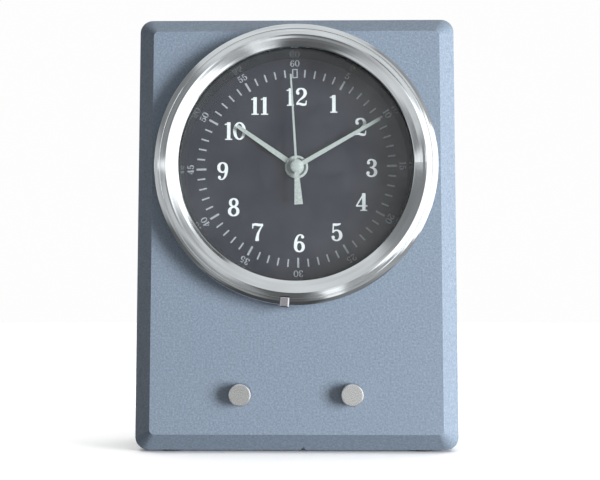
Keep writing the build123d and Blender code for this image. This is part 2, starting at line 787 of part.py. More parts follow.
with BuildPart() as seconds_wheel:
    with BuildSketch(front(20.6, dial_z)):
        with BuildLine():
            Polyline(*gear_points(pos_c, 60, m_inter, ph_seconds_wheel), close=True)
        make_face()
        with Locations(*ring_pts(5, 8.6, 54.0)):
            Circle(3.4, mode=Mode.SUBTRACT)
    extrude(amount=-0.8)
    with BuildSketch(front(17.8, dial_z)):
        with BuildLine():
            Polyline(*gear_points(pos_c, 8, m_third, ph_seconds_pinion), close=True)
        make_face()
    extrude(amount=-1.6)
    with BuildSketch(front(19.2, dial_z)):
        Circle(1.4)
    extrude(amount=-3.0)
    with BuildSketch(front(1.1, dial_z)):
        Circle(0.6)
    extrude(amount=-31.5)
seconds_wheel.part.label = "seconds_wheel"
export_step(seconds_wheel.part, "parts/seconds_wheel.step")

with BuildPart() as intermediate_wheel:
    with BuildSketch(front(22.8, dial_z)):
        with BuildLine():
            Polyline(*gear_points(pos_inter, 48, m_rotor, ph_inter_wheel), close=True)
        make_face()
        with Locations(pos_inter):
            with Locations(*ring_pts(4, 5.6, 0.0)):
                Circle(2.1, mode=Mode.SUBTRACT)
    extrude(amount=-0.8)
    with BuildSketch(front(20.2, dial_z)):
        with BuildLine():
            Polyline(*gear_points(pos_inter, 12, m_inter, ph_inter_pinion), close=True)
        make_face()
    extrude(amount=-1.6)
    with BuildSketch(front(21.6, dial_z)):
        with Locations(pos_inter):
            Circle(1.6)
    extrude(amount=-2.6)
    with BuildSketch(front(10.8, dial_z)):
        with Locations(pos_inter):
            Circle(0.7)
    extrude(amount=-20.1)
    with BuildSketch(front(9.1, dial_z)):
        with Locations(pos_inter):
            Circle(0.4)
    extrude(amount=-23.5)
intermediate_wheel.part.label = "intermediate_wheel"
export_step(intermediate_wheel.part, "parts/intermediate_wheel.step")

with BuildPart() as rotor:
    with BuildSketch(front(22.4, dial_z)):
        with BuildLine():
            Polyline(*gear_points(pos_rotor, 8, m_rotor, ph_rotor_pinion), close=True)
        make_face()
    extrude(amount=-1.6)
    with BuildSketch(front(24.4, dial_z)):
        with Locations(pos_rotor):
            Circle(2.9)
    extrude(amount=-2.6)
    with BuildSketch(front(10.8, dial_z)):
        with Locations(pos_rotor):
            Circle(0.6)
    extrude(amount=-20.1)
    with BuildSketch(front(9.1, dial_z)):
        with Locations(pos_rotor):
            Circle(0.4)
    extrude(amount=-23.5)
rotor.part.label = "rotor"
export_step(rotor.part, "parts/rotor.step")

with BuildPart() as setting_knob:
    with BuildSketch(front(13.0, dial_z)):
        with BuildLine():
            Polyline(*gear_points(pos_knob, 12, m_cannon, ph_knob_pinion), close=True)
        make_face()
    extrude(amount=-1.4)
    with BuildSketch(front(10.8, dial_z)):
        with Locations(pos_knob):
            Circle(1.5)
    extrude(amount=-24.0)
    with BuildSketch(front(9.1, dial_z)):
        with Locations(pos_knob):
            Circle(1.0)
    extrude(amount=-2.0)
    with BuildSketch(front(34.2, dial_z)):
        with Locations(pos_knob):
            Circle(7.0)
            with Locations(*ring_pts(24, 7.3, 0.0)):
                Circle(0.6, mode=Mode.SUBTRACT)
    extrude(amount=-7.0)
setting_knob.part.label = "setting_knob"
export_step(setting_knob.part, "parts/setting_knob.step")

with BuildPart() as stator:
    with BuildSketch(front(25.0, dial_z)):
        with Locations((4.5, -17.5)):
            Rectangle(45.0, 12.0)
        with Locations((-15.5, -26.0)):
            Rectangle(5.0, 10.0)
        with Locations((21.5, -26.0)):
            Rectangle(9.0, 10.0)
        with Locations(pos_rotor):
            Circle(3.5, mode=Mode.SUBTRACT)
        with Locations(pos_inter):
            Circle(1.6, mode=Mode.SUBTRACT)
    extrude(amount=-1.2)
    with BuildSketch(front(26.2, dial_z)):
        with Locations((4.0, -29.0)):
            Rectangle(44.0, 4.0)
    extrude(amount=-1.2)
stator.part.label = "stator"
export_step(stator.part, "parts/stator.step")

coil_plane_x = Plane(origin=(-12.0, 26.8 - y_mid, dial_z - 29.0), x_dir=(0, 1, 0), z_dir=(1, 0, 0))
with BuildPart() as coil_bobbin:
    with BuildSketch(coil_plane_x):
        Circle(4.0)
    extrude(amount=1.0)
    with BuildSketch(coil_plane_x.offset(25.0)):
        Circle(4.0)
    extrude(amount=1.0)
    with BuildSketch(coil_plane_x):
        Circle(2.6)
    extrude(amount=26.0)
    with BuildSketch(coil_plane_x.offset(-1.0)):
        Circle(2.2)
    extrude(amount=28.0, mode=Mode.SUBTRACT)
coil_bobbin.part.label = "coil_bobbin"
export_step(coil_bobbin.part, "parts/coil_bobbin.step")

with BuildPart() as coil_winding:
    with BuildSketch(coil_plane_x.offset(1.0)):
        Circle(3.7)
        Circle(2.6, mode=Mode.SUBTRACT)
    extrude(amount=24.0)
coil_winding.part.label = "coil_winding"
export_step(coil_winding.part, "parts/coil_winding.step")

with BuildPart() as circuit_board:
    with BuildSketch(front(back_plate_rear, dial_z)):
        with Locations((6.0, 18.0)):
            RectangleRounded(48.0, 28.0, 1.5)
    extrude(amount=-1.2)
circuit_board.part.label = "circuit_board"
export_step(circuit_board.part, "parts/circuit_board.step")

board_rear = back_plate_rear + 1.2
with BuildPart() as chip:
    with BuildSketch(front(board_rear, dial_z)):
        with Locations((8.0, 15.0)):
            Rectangle(7.0, 7.0)
    extrude(amount=-1.3)
    with BuildSketch(front(board_rear, dial_z)):
        with Locations(*[(8.0 + sx * 4.1, 15.0 + k * 1.6) for sx in (-1, 1) for k in (-1.5, -0.5, 0.5, 1.5)]):
            Rectangle(1.4, 0.5)
    extrude(amount=-0.5)
chip.part.label = "chip"
export_step(chip.part, "parts/chip.step")

with BuildPart() as crystal:
    with BuildSketch(Plane(origin=(-13.0, board_rear + 1.55 - y_mid, dial_z + 25.0), x_dir=(0, 1, 0), z_dir=(1, 0, 0))):
        Circle(1.5)
    extrude(amount=6.5)
    for dz in (-0.5, 0.5):
        with BuildSketch(Plane(origin=(-6.6, board_rear + 1.55 - y_mid, dial_z + 25.0 + dz), x_dir=(0, 1, 0), z_dir=(1, 0, 0))):
            Circle(0.2)
        extrude(amount=2.5)
crystal.part.label = "crystal"
export_step(crystal.part, "parts/crystal.step")

# ================================================================ supply
with BuildPart() as battery_box:
    with BuildSketch(front(41.0, 50.0)):
        RectangleRounded(62.0, 34.0, 1.5)
    extrude(amount=-(cover_front - 41.0))
    with BuildSketch(front(57.4, 50.0)):
        RectangleRounded(76.0, 34.0, 2.0)
    extrude(amount=-(cover_front - 57.4))
    with BuildSketch(front(42.5, 50.0)):
        Rectangle(58.0, 30.8)
    extrude(amount=-(cover_front - 42.5 + 0.5), mode=Mode.SUBTRACT)
    with BuildSketch(front(42.0, 50.0)):
        Rectangle(58.4, 1.0)
    extrude(amount=-6.0)
    with BuildSketch(front(56.0, 50.0)):
        with Locations((-34, -13), (34, -13), (-34, 13), (34, 13)):
            Circle(1.1)
    extrude(amount=-4.0, mode=Mode.SUBTRACT)
battery_box.part.label = "battery_box"
export_step(battery_box.part, "parts/battery_box.step")

with BuildPart() as battery_box_screws:
    with BuildSketch(front(57.4, 50.0)):
        with Locations((-34, -13), (34, -13), (-34, 13), (34, 13)):
            Circle(0.9)
    extrude(amount=-3.4)
    with BuildSketch(front(57.4, 50.0)):
        with Locations((-34, -13), (34, -13), (-34, 13), (34, 13)):
            Circle(1.9)
    extrude(amount=1.4)
battery_box_screws.part.label = "battery_box_screws"
export_step(battery_box_screws.part, "parts/battery_box_screws.step")

cell_y = 42.5 + cell_r + 0.1
with BuildPart() as cells:
    for side, cz in ((1, cell_rows[0]), (-1, cell_rows[1])):
        cell_plane = Plane(origin=(-side * 21.8, cell_y - y_mid, cz), x_dir=(0, 1, 0), z_dir=(side, 0, 0))
        with BuildSketch(cell_plane):
            Circle(cell_r)
        extrude(amount=49.0)
        with BuildSketch(cell_plane.offset(48.9)):
            Circle(2.7)
        extrude(amount=1.3)
cells.part.label = "cells"
export_step(cells.part, "parts/cells.step")

with BuildPart() as battery_contacts:
    for side, cz in ((1, cell_rows[0]), (-1, cell_rows[1])):
        with BuildSketch(Plane(origin=(side * 28.6, cell_y - y_mid, cz), x_dir=(0, 1, 0), z_dir=(side, 0, 0))):
            Rectangle(10.0, 11.0)
        extrude(amount=0.4)
        with BuildSketch(Plane(origin=(-side * 28.6, cell_y - y_mid, cz), x_dir=(0, 1, 0), z_dir=(-side, 0, 0))):
            Rectangle(10.0, 11.0)
        extrude(amount=0.4)
        with BuildLine() as coil_line:
            Helix(pitch=1.5, height=5.8, radius=3.4, center=(-side * 28.25, cell_y - y_mid, cz), direction=(side, 0, 0))
        with BuildSketch(Plane(origin=coil_line.line @ 0, z_dir=coil_line.line % 0)):
            Circle(0.33)
        sweep(is_frenet=True)
battery_contacts.part.label = "battery_contacts"
export_step(battery_contacts.part, "parts/battery_contacts.step")

with BuildPart() as battery_door:
    with BuildSketch(front(60.0, (door_z0 + door_z1) / 2)):
        Rectangle(56.4, door_z1 - door_z0)
    extrude(amount=-2.0)
    with BuildSketch(front(61.9, 0)):
        with Locations((0, 61.6)):
            RectangleRounded(14.0, 1.6, 0.7)
        with Locations((0, 58.8)):
            RectangleRounded(14.0, 1.6, 0.7)
    extrude(amount=-0.9)
    for kx in (-18.0, 18.0):
        knuckle = Plane(origin=(kx - 4.0, hinge_y - y_mid, hinge_z), x_dir=(0, 1, 0), z_dir=(1, 0, 0))
        with BuildSketch(knuckle):
            Circle(1.8)
            with Locations((-0.8, 1.3)):
                Rectangle(1.6, 2.4)
        extrude(amount=8.0)
    with BuildSketch(Plane(origin=(-31, hinge_y - y_mid, hinge_z), x_dir=(0, 1, 0), z_dir=(1, 0, 0))):
        Circle(0.86)
    extrude(amount=62.0, mode=Mode.SUBTRACT)
battery_door.part.label = "battery_door"
export_step(battery_door.part, "parts/battery_door.step")

with BuildPart() as door_hinge_pin:
    with BuildSketch(Plane(origin=(-29.8, hinge_y - y_mid, hinge_z), x_dir=(0, 1, 0), z_dir=(1, 0, 0))):
        Circle(0.8)
    extrude(amount=59.6)
door_hinge_pin.part.label = "door_hinge_pin"
export_step(door_hinge_pin.part, "parts/door_hinge_pin.step")

lead_end = board_rear - y_mid
with BuildPart() as battery_lead_plus:
    with BuildLine() as red_line:
        FilletPolyline((20, 50 - y_mid, 67.0), (20, 50 - y_mid, 78), (20, 38 - y_mid, 78), (20, 38 - y_mid, 143), (20, lead_end, 143), radius=3.0)
    with BuildSketch(Plane(origin=red_line.line @ 0, z_dir=red_line.line % 0)):
        Circle(0.8)
    sweep()
battery_lead_plus.part.label = "battery_lead_plus"
export_step(battery_lead_plus.part, "parts/battery_lead_plus.step")

with BuildPart() as battery_lead_minus:
    with BuildLine() as black_line:
        FilletPolyline((24, 50 - y_mid, 67.0), (24, 50 - y_mid, 82), (24, 38 - y_mid, 82), (24, 38 - y_mid, 143), (24, lead_end, 143), radius=3.0)
    with BuildSketch(Plane(origin=black_line.line @ 0, z_dir=black_line.line % 0)):
        Circle(0.8)
    sweep()
battery_lead_minus.part.label = "battery_lead_minus"
export_step(battery_lead_minus.part, "parts/battery_lead_minus.step")

# ================================================================ controls
with BuildPart() as button_left:
    with BuildSketch(turned(button_z, -button_x)):
        with BuildLine():
            Polyline(
                (0, button_front), (button_r - 0.45, button_front), (button_r - 0.12, button_front + 0.12),
                (button_r, button_front + 0.45), (button_r, 8.3), (5.9, 8.3), (5.9, 9.5), (1.6, 9.5),
                (1.6, 13.6), (0, 13.6), close=True,
            )
        make_face()
    revolve(axis=axis_at(button_z, -button_x))
button_left.part.label = "button_left"
export_step(button_left.part, "parts/button_left.step")

with BuildPart() as button_right:
    with BuildSketch(turned(button_z, button_x)):
        with BuildLine():
            Polyline(
                (0, button_front), (button_r - 0.45, button_front), (button_r - 0.12, button_front + 0.12),
                (button_r, button_front + 0.45), (button_r, 8.3), (5.9, 8.3), (5.9, 9.5), (1.6, 9.5),
                (1.6, 13.6), (0, 13.6), close=True,
            )
        make_face()
    revolve(axis=axis_at(button_z, button_x))
button_right.part.label = "button_right"
export_step(button_right.part, "parts/button_right.step")

with BuildPart() as button_spring_left:
    with BuildLine() as left_line:
        Helix(pitch=2.2, height=10.5, radius=5.0, center=(-button_x, 10.0 - y_mid, button_z), direction=(0, 1, 0))
    with BuildSketch(Plane(origin=left_line.line @ 0, z_dir=left_line.line % 0)):
        Circle(0.35)
    sweep(is_frenet=True)
button_spring_left.part.label = "button_spring_left"
export_step(button_spring_left.part, "parts/button_spring_left.step")

with BuildPart() as button_spring_right:
    with BuildLine() as right_line:
        Helix(pitch=2.2, height=10.5, radius=5.0, center=(button_x, 10.0 - y_mid, button_z), direction=(0, 1, 0))
    with BuildSketch(Plane(origin=right_line.line @ 0, z_dir=right_line.line % 0)):
        Circle(0.35)
    sweep(is_frenet=True)
button_spring_right.part.label = "button_spring_right"
export_step(button_spring_right.part, "parts/button_spring_right.step")

with BuildPart() as switch_board:
    with BuildSketch(front(board_front, button_z)):
        RectangleRounded(88.0, 21.0, 2.0)
        with Locations((-40, -6.5), (40, -6.5), (-40, 6.5), (40, 6.5)):
            Circle(1.15, mode=Mode.SUBTRACT)
    extrude(amount=-board_t)
switch_board.part.label = "switch_board"
export_step(switch_board.part, "parts/switch_board.step")

with BuildPart() as switches:
    with BuildSketch(front(17.6, button_z)):
        with Locations((-button_x, 0), (button_x, 0)):
            Rectangle(6.0, 6.0)
    extrude(amount=-(board_front - 17.6))
    with BuildSketch(front(16.2, button_z)):
        with Locations((-button_x, 0), (button_x, 0)):
            Circle(1.7)
    extrude(amount=-1.6)
switches.part.label = "switches"
export_step(switches.part, "parts/switches.step")

with BuildPart() as board_screws:
    with BuildSketch(front(15.0, button_z)):
        with Locations((-40, -6.5), (40, -6.5), (-40, 6.5), (40, 6.5)):
            Circle(1.0)
    extrude(amount=-(board_front + board_t - 15.0 + 0.2))
    with BuildSketch(front(board_front + board_t, button_z)):
        with Locations((-40, -6.5), (40, -6.5), (-40, 6.5), (40, 6.5)):
            Circle(2.2)
    extrude(amount=-1.6)
    with BuildSketch(front(board_front + board_t + 0.9, button_z)):
        with Locations((-40, -6.5), (40, -6.5), (-40, 6.5), (40, 6.5)):
            Rectangle(2.6, 0.6)
            Rectangle(0.6, 2.6)
    extrude(amount=-2.0, mode=Mode.SUBTRACT)
board_screws.part.label = "board_screws"
export_step(board_screws.part, "parts/board_screws.step")

with BuildPart() as switch_leads:
    for lx in (-8.0, -5.0, -2.0):
        with BuildLine() as lead_line:
            FilletPolyline((lx, board_front + board_t - y_mid, 33.5), (lx, 37 - y_mid, 33.5), (lx, 37 - y_mid, 139), (lx, lead_end, 139), radius=2.5)
        with BuildSketch(Plane(origin=lead_line.line @ 0, z_dir=lead_line.line % 0)):
            Circle(0.65)
        sweep()
switch_leads.part.label = "switch_leads"
export_step(switch_leads.part, "parts/switch_leads.step")
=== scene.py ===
import math

import bmesh
import bpy
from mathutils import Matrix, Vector
from mathutils.geometry import delaunay_2d_cdt


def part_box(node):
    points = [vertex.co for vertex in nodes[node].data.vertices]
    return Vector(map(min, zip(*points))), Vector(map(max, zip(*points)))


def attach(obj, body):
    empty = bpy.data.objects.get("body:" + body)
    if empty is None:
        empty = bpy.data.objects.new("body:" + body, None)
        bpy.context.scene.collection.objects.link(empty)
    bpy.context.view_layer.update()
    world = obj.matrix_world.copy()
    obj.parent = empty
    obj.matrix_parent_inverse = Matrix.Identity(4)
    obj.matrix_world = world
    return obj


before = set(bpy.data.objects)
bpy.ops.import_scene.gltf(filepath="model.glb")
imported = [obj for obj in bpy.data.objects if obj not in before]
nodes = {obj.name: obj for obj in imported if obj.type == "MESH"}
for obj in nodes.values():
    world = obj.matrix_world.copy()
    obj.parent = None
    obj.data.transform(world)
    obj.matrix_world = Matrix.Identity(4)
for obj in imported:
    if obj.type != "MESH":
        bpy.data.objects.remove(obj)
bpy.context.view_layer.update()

scene = bpy.context.scene

# ------------------------------------------------------------------ places, metres
MM = 0.001
DIAL_Z = 0.13245
DIAL_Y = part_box("dial_plate")[0].y    # front of the dial


def srgb(r, g, b):
    """A colour given as it looks on screen, 0-255, as scene-linear RGBA."""
    out = []
    for c in (r, g, b):
        c /= 255.0
        out.append(c / 12.92 if c <= 0.04045 else ((c + 0.055) / 1.055) ** 2.4)
    return (*out, 1.0)


# ------------------------------------------------------------------ materials
class Mat:
    """A node material with short calls for the nodes used here."""

    def __init__(self, name):
        self.m = bpy.data.materials.new(name)
        self.m.use_nodes = True
        self.t = self.m.node_tree
        self.b = self.t.nodes["Principled BSDF"]
        self.out = self.t.nodes["Material Output"]
        self._co = None

    def node(self, kind, **values):
        n = self.t.nodes.new(kind)
        for k, v in values.items():
            setattr(n, k, v)
        return n

    def link(self, a, b):
        self.t.links.new(a, b)

    def co(self):
        if self._co is None:
            self._co = self.node("ShaderNodeTexCoord").outputs["Object"]
        return self._co

    def mapped(self, scale=(1, 1, 1), loc=(0, 0, 0), rot=(0, 0, 0)):
        n = self.node("ShaderNodeMapping")
        n.inputs["Location"].default_value = loc
        n.inputs["Rotation"].default_value = rot
        n.inputs["Scale"].default_value = scale
        self.link(self.co(), n.inputs["Vector"])
        return n.outputs["Vector"]

    def noise(self, scale, detail=2.0, rough=0.5, vec=None, distortion=0.0):
        n = self.node("ShaderNodeTexNoise")
        n.inputs["Scale"].default_value = scale
        n.inputs["Detail"].default_value = detail
        n.inputs["Roughness"].default_value = rough
        n.inputs["Distortion"].default_value = distortion
        self.link(vec if vec is not None else self.co(), n.inputs["Vector"])
        return n.outputs["Fac"]

    def cells(self, scale, feature="F1", vec=None, out="Distance", randomness=1.0):
        n = self.node("ShaderNodeTexVoronoi", feature=feature)
        n.inputs["Scale"].default_value = scale
        n.inputs["Randomness"].default_value = randomness
        self.link(vec if vec is not None else self.co(), n.inputs["Vector"])
        return n.outputs[out]

    def ramp(self, fac, stops):
        n = self.node("ShaderNodeValToRGB")
        e = n.color_ramp.elements
        e[0].position, e[0].color = stops[0]
        e[1].position, e[1].color = stops[-1]
        for p, c in stops[1:-1]:
            k = e.new(p)
            k.color = c
        self.link(fac, n.inputs["Fac"])
        return n.outputs["Color"]

    def span(self, fac, a0, a1, b0, b1):
        n = self.node("ShaderNodeMapRange")
        for key, v in (("From Min", a0), ("From Max", a1), ("To Min", b0), ("To Max", b1)):
            n.inputs[key].default_value = v
        self.link(fac, n.inputs["Value"])
        return n.outputs["Result"]

    def math(self, op, a, b=None):
        n = self.node("ShaderNodeMath", operation=op)
        for i, v in enumerate((a, b)):
            if v is None:
                continue
            if isinstance(v, (int, float)):
                n.inputs[i].default_value = v
            else:
                self.link(v, n.inputs[i])
        return n.outputs[0]

    def mix(self, fac, a, b):
        n = self.node("ShaderNodeMix", data_type="RGBA")
        if isinstance(fac, (int, float)):
            n.inputs[0].default_value = fac
        else:
            self.link(fac, n.inputs[0])
        for i, v in ((6, a), (7, b)):
            if isinstance(v, tuple):
                n.inputs[i].default_value = v
            else:
                self.link(v, n.inputs[i])
        return n.outputs[2]

    def bump(self, height, strength, distance, normal=None):
        n = self.node("ShaderNodeBump")
        n.inputs["Strength"].default_value = strength
        n.inputs["Distance"].default_value = distance
        self.link(height, n.inputs["Height"])
        if normal is not None:
            self.link(normal, n.inputs["Normal"])
        return n.outputs["Normal"]

    def radius(self, cx=0.0, cz=DIAL_Z):
        """Distance from a fore-and-aft axis, metres."""
        s = self.node("ShaderNodeSeparateXYZ")
        self.link(self.co(), s.inputs[0])
        dx = self.math("SUBTRACT", s.outputs["X"], cx)
        dz = self.math("SUBTRACT", s.outputs["Z"], cz)
        return self.math("SQRT", self.math("ADD", self.math("MULTIPLY", dx, dx), self.math("MULTIPLY", dz, dz)))

    def rings(self, scale, cx=0.0, cz=DIAL_Z, detail=2.0):
        """Turning marks: noise that changes with the radius only."""
        n = self.node("ShaderNodeTexNoise", noise_dimensions="1D")
        n.inputs["Scale"].default_value = scale
        n.inputs["Detail"].default_value = detail
        self.link(self.radius(cx, cz), n.inputs["W"])
        return n.outputs["Fac"]

    def set(self, **values):
        for k, v in values.items():
            sock = self.b.inputs[k.replace("_", " ")]
            if isinstance(v, (int, float, tuple)):
                sock.default_value = v
            else:
                self.link(v, sock)
        return self


def hammer_paint(name, dark, mid, light, rough=0.42):
    """Sprayed metallic paint with a fine pebbled skin and tiny light and dark flecks."""
    m = Mat(name)
    big = m.noise(26.0, 3.0, 0.55)
    fleck = m.noise(1150.0, 2.0, 0.6)
    pits = m.cells(760.0, "SMOOTH_F1")
    body = m.ramp(fleck, [(0.30, dark), (0.50, mid), (0.70, light)])
    tone = m.mix(m.span(big, 0.3, 0.7, 0.0, 0.16), body, mid)
    rub = m.math("MULTIPLY", m.span(m.noise(90.0, 6.0, 0.65), 0.56, 0.68, 0.0, 1.0), 0.10)
    m.set(
        Base_Color=m.mix(rub, tone, light),
        Roughness=m.span(m.noise(420.0, 4.0, 0.6), 0.25, 0.75, rough - 0.08, rough + 0.14),
        Metallic=0.12,
        Specular_IOR_Level=0.5,
        Normal=m.bump(m.math("ADD", m.math("MULTIPLY", pits, 0.8), m.math("MULTIPLY", fleck, 0.5)), 0.42, 0.00016),
    )
    return m


def cast_plastic(name, base, light, rough=0.5, grain=900.0, bump=0.25):
    """Moulded plastic or rubber with spark-eroded grain, dulled patches and a few scuffs."""
    m = Mat(name)
    fine = m.noise(grain, 3.0, 0.6)
    cloud = m.noise(38.0, 4.0, 0.6)
    scuff = m.span(m.noise(60.0, 8.0, 0.75, m.mapped((1.0, 1.0, 9.0), rot=(0.3, 0.6, 0.2))), 0.60, 0.70, 0.0, 0.5)
    tone = m.mix(m.span(cloud, 0.35, 0.7, 0.0, 0.55), base, light)
    m.set(
        Base_Color=m.mix(m.math("MULTIPLY", scuff, 0.5), tone, light),
        Roughness=m.span(cloud, 0.3, 0.7, rough - 0.07, rough + 0.12),
        Normal=m.bump(fine, bump, 0.00008),
    )
    return m


def brushed_metal(name, base, dark, rough=0.28, direction=(1.0, 1.0, 30.0), scale=60.0, bump=0.18):
    """Metal with a straight grain, finger dulling and small dark specks."""
    m = Mat(name)
    grain = m.noise(scale, 4.0, 0.7, m.mapped(direction))
    cloud = m.noise(45.0, 4.0, 0.6)
    specks = m.span(m.noise(1400.0, 2.0, 0.5), 0.68, 0.74, 0.0, 0.7)
    tone = m.mix(m.span(grain, 0.3, 0.75, 0.0, 0.5), base, dark)
    m.set(
        Base_Color=m.mix(m.math("MULTIPLY", specks, 0.5), tone, dark),
        Metallic=1.0,
        Roughness=m.math("ADD", m.span(grain, 0.3, 0.7, rough - 0.05, rough + 0.07), m.span(cloud, 0.4, 0.75, 0.0, 0.10)),
        Normal=m.bump(grain, bump, 0.00004),
    )
    return m


def turned_metal(name, base, dark, rough=0.2, ring_scale=9000.0, bump=0.10, cx=0.0, cz=DIAL_Z, smudge=0.10):
    """Metal turned on a lathe about a fore-and-aft axis, then polished, with smudges from handling."""
    m = Mat(name)
    ring = m.rings(ring_scale, cx, cz)
    cloud = m.noise(70.0, 5.0, 0.62)
    fine = m.noise(900.0, 3.0, 0.6)
    tone = m.mix(m.span(ring, 0.35, 0.65, 0.0, 0.35), base, dark)
    m.set(
        Base_Color=m.mix(m.span(cloud, 0.55, 0.8, 0.0, 0.25), tone, dark),
        Metallic=1.0,
        Roughness=m.math("ADD", m.span(ring, 0.3, 0.7, rough - 0.03, rough + 0.03), m.span(cloud, 0.45, 0.8, 0.0, smudge)),
        Normal=m.bump(m.math("ADD", ring, m.math("MULTIPLY", fine, 0.25)), bump, 0.00002),
    )
    return m


M = {}
# -- case
M["hammer_paint"] = hammer_paint("paint_case", srgb(101, 114, 128), srgb(113, 126, 141), srgb(127, 140, 156))
M["cover_paint"] = hammer_paint("paint_cover", srgb(88, 97, 110), srgb(104, 114, 128), srgb(122, 132, 146), 0.5)
M["gasket_rubber"] = cast_plastic("rubber_seal", srgb(26, 26, 28), srgb(58, 58, 60), 0.72, 1400.0, 0.3)
M["foot_rubber"] = cast_plastic("rubber_foot", srgb(24, 24, 25), srgb(64, 63, 62), 0.8, 900.0, 0.45)
M["screw_steel"] = brushed_metal("steel_screw", srgb(198, 199, 200), srgb(120, 121, 124), 0.3, (9.0, 9.0, 9.0), 140.0, 0.2)
M["plate_steel"] = brushed_metal("steel_plate", srgb(186, 189, 192), srgb(128, 131, 136), 0.34, (1.0, 1.0, 24.0), 50.0, 0.22)
M["spring_steel"] = brushed_metal("steel_spring", srgb(176, 176, 178), srgb(96, 97, 102), 0.3, (20.0, 20.0, 20.0), 160.0, 0.15)

# -- glazing
M["bezel_chrome"] = turned_metal("chrome_bezel", (0.765, 0.805, 0.83, 1), (0.58, 0.615, 0.64, 1), 0.085, 5200.0, 0.08, smudge=0.06)
M["lug_chrome"] = brushed_metal("chrome_lug", (0.60, 0.59, 0.63, 1), (0.40, 0.40, 0.44, 1), 0.20, (1.0, 1.0, 12.0), 300.0, 0.15)
M["seat_metal"] = turned_metal("alloy_seat", srgb(170, 172, 176), srgb(110, 112, 118), 0.32, 7000.0, 0.25)

glass = Mat("glass_front")
smear = glass.noise(34.0, 5.0, 0.7)
dust = glass.span(glass.noise(2600.0, 2.0, 0.5), 0.74, 0.80, 0.0, 0.25)
see = glass.node("ShaderNodeBsdfTransparent")
see.inputs["Color"].default_value = (0.955, 0.975, 0.97, 1)
shine = glass.node("ShaderNodeBsdfGlossy")
shine.inputs["Color"].default_value = (1, 1, 1, 1)
glass.link(glass.span(smear, 0.45, 0.8, 0.02, 0.16), shine.inputs["Roughness"])
facing = glass.node("ShaderNodeLayerWeight")
facing.inputs["Blend"].default_value = 0.5
fres = glass.span(glass.math("POWER", facing.outputs["Facing"], 4.0), 0.0, 1.0, 0.034, 0.9)
haze = glass.node("ShaderNodeBsdfDiffuse")
haze.inputs["Color"].default_value = (0.80, 0.84, 0.86, 1)
m1 = glass.node("ShaderNodeMixShader")
glass.link(fres, m1.inputs[0])
glass.link(see.outputs[0], m1.inputs[1])
glass.link(shine.outputs[0], m1.inputs[2])
m2 = glass.node("ShaderNodeMixShader")
glass.link(glass.math("ADD", glass.span(smear, 0.35, 0.8, 0.004, 0.018), glass.math("MULTIPLY", dust, 0.10)), m2.inputs[0])
glass.link(m1.outputs[0], m2.inputs[1])
glass.link(haze.outputs[0], m2.inputs[2])
glass.t.nodes.remove(glass.b)
glass.link(m2.outputs[0], glass.out.inputs["Surface"])
M["glass_clear"] = glass

ring = Mat("lacquer_reflector")
ring_marks = ring.rings(2600.0)
ring.set(
    Base_Color=ring.mix(ring.span(ring.noise(60.0, 4.0), 0.4, 0.7, 0.0, 0.6), srgb(40, 42, 46), srgb(62, 65, 70)),
    Metallic=0.35,
    Roughness=ring.math("ADD", ring.span(ring_marks, 0.3, 0.7, 0.10, 0.16), ring.span(ring.noise(120.0, 5.0), 0.5, 0.8, 0.0, 0.12)),
    Coat_Weight=0.35,
    Coat_Roughness=0.08,
    Normal=ring.bump(ring_marks, 0.06, 0.00002),
)
M["reflector_black"] = ring

# -- dial, hands
dial = Mat("lacquer_dial")
d_fine = dial.noise(2100.0, 3.0, 0.6)
d_big = dial.noise(30.0, 4.0, 0.6)
dial.set(
    Base_Color=dial.mix(
        dial.span(d_big, 0.35, 0.7, 0.0, 0.35),
        dial.ramp(d_fine, [(0.32, srgb(26, 26, 37)), (0.52, srgb(35, 35, 48)), (0.70, srgb(48, 48, 63))]),
        srgb(40, 40, 54),
    ),
    Roughness=dial.span(dial.noise(260.0, 4.0), 0.3, 0.7, 0.46, 0.62),
    Normal=dial.bump(d_fine, 0.18, 0.00004),
)
M["dial_black"] = dial
M["carrier_metal"] = brushed_metal("alloy_carrier", srgb(178, 180, 184), srgb(126, 128, 133), 0.36, (1.0, 1.0, 22.0), 45.0, 0.2)
hands = Mat("lacquer_hands")
h_fine = hands.noise(1500.0, 3.0, 0.6)
hands.set(
    Base_Color=hands.ramp(h_fine, [(0.3, srgb(158, 164, 163)), (0.6, srgb(184, 190, 189)), (0.75, srgb(204, 209, 207))]),
    Metallic=0.15,
    Roughness=hands.span(hands.noise(300.0, 4.0), 0.3, 0.7, 0.30, 0.46),
    Normal=hands.bump(h_fine, 0.14, 0.00003),
)
M["hand_metal"] = hands

# -- movement
M["movement_brass"] = brushed_metal("brass_plate", srgb(214, 178, 104), srgb(164, 128, 66), 0.30, (26.0, 1.0, 1.0), 48.0, 0.2)
M["wheel_brass"] = brushed_metal("brass_wheel", srgb(222, 186, 112), srgb(170, 132, 70), 0.24, (8.0, 8.0, 8.0), 160.0, 0.14)
M["pinion_steel"] = brushed_metal("steel_pinion", srgb(190, 191, 194), srgb(116, 118, 122), 0.24, (8.0, 30.0, 8.0), 120.0, 0.12)
M["rotor_black"] = cast_plastic("moulded_rotor", srgb(34, 34, 37), srgb(62, 62, 66), 0.45, 1500.0, 0.15)
M["knob_plastic"] = cast_plastic("moulded_knob", srgb(214, 210, 200), srgb(232, 229, 220), 0.45, 1100.0, 0.18)
M["stator_steel"] = brushed_metal("steel_stator", srgb(156, 158, 164), srgb(98, 100, 108), 0.4, (1.0, 1.0, 20.0), 70.0, 0.18)
M["bobbin_plastic"] = cast_plastic("moulded_bobbin", srgb(206, 202, 190), srgb(226, 222, 210), 0.5, 1200.0, 0.15)

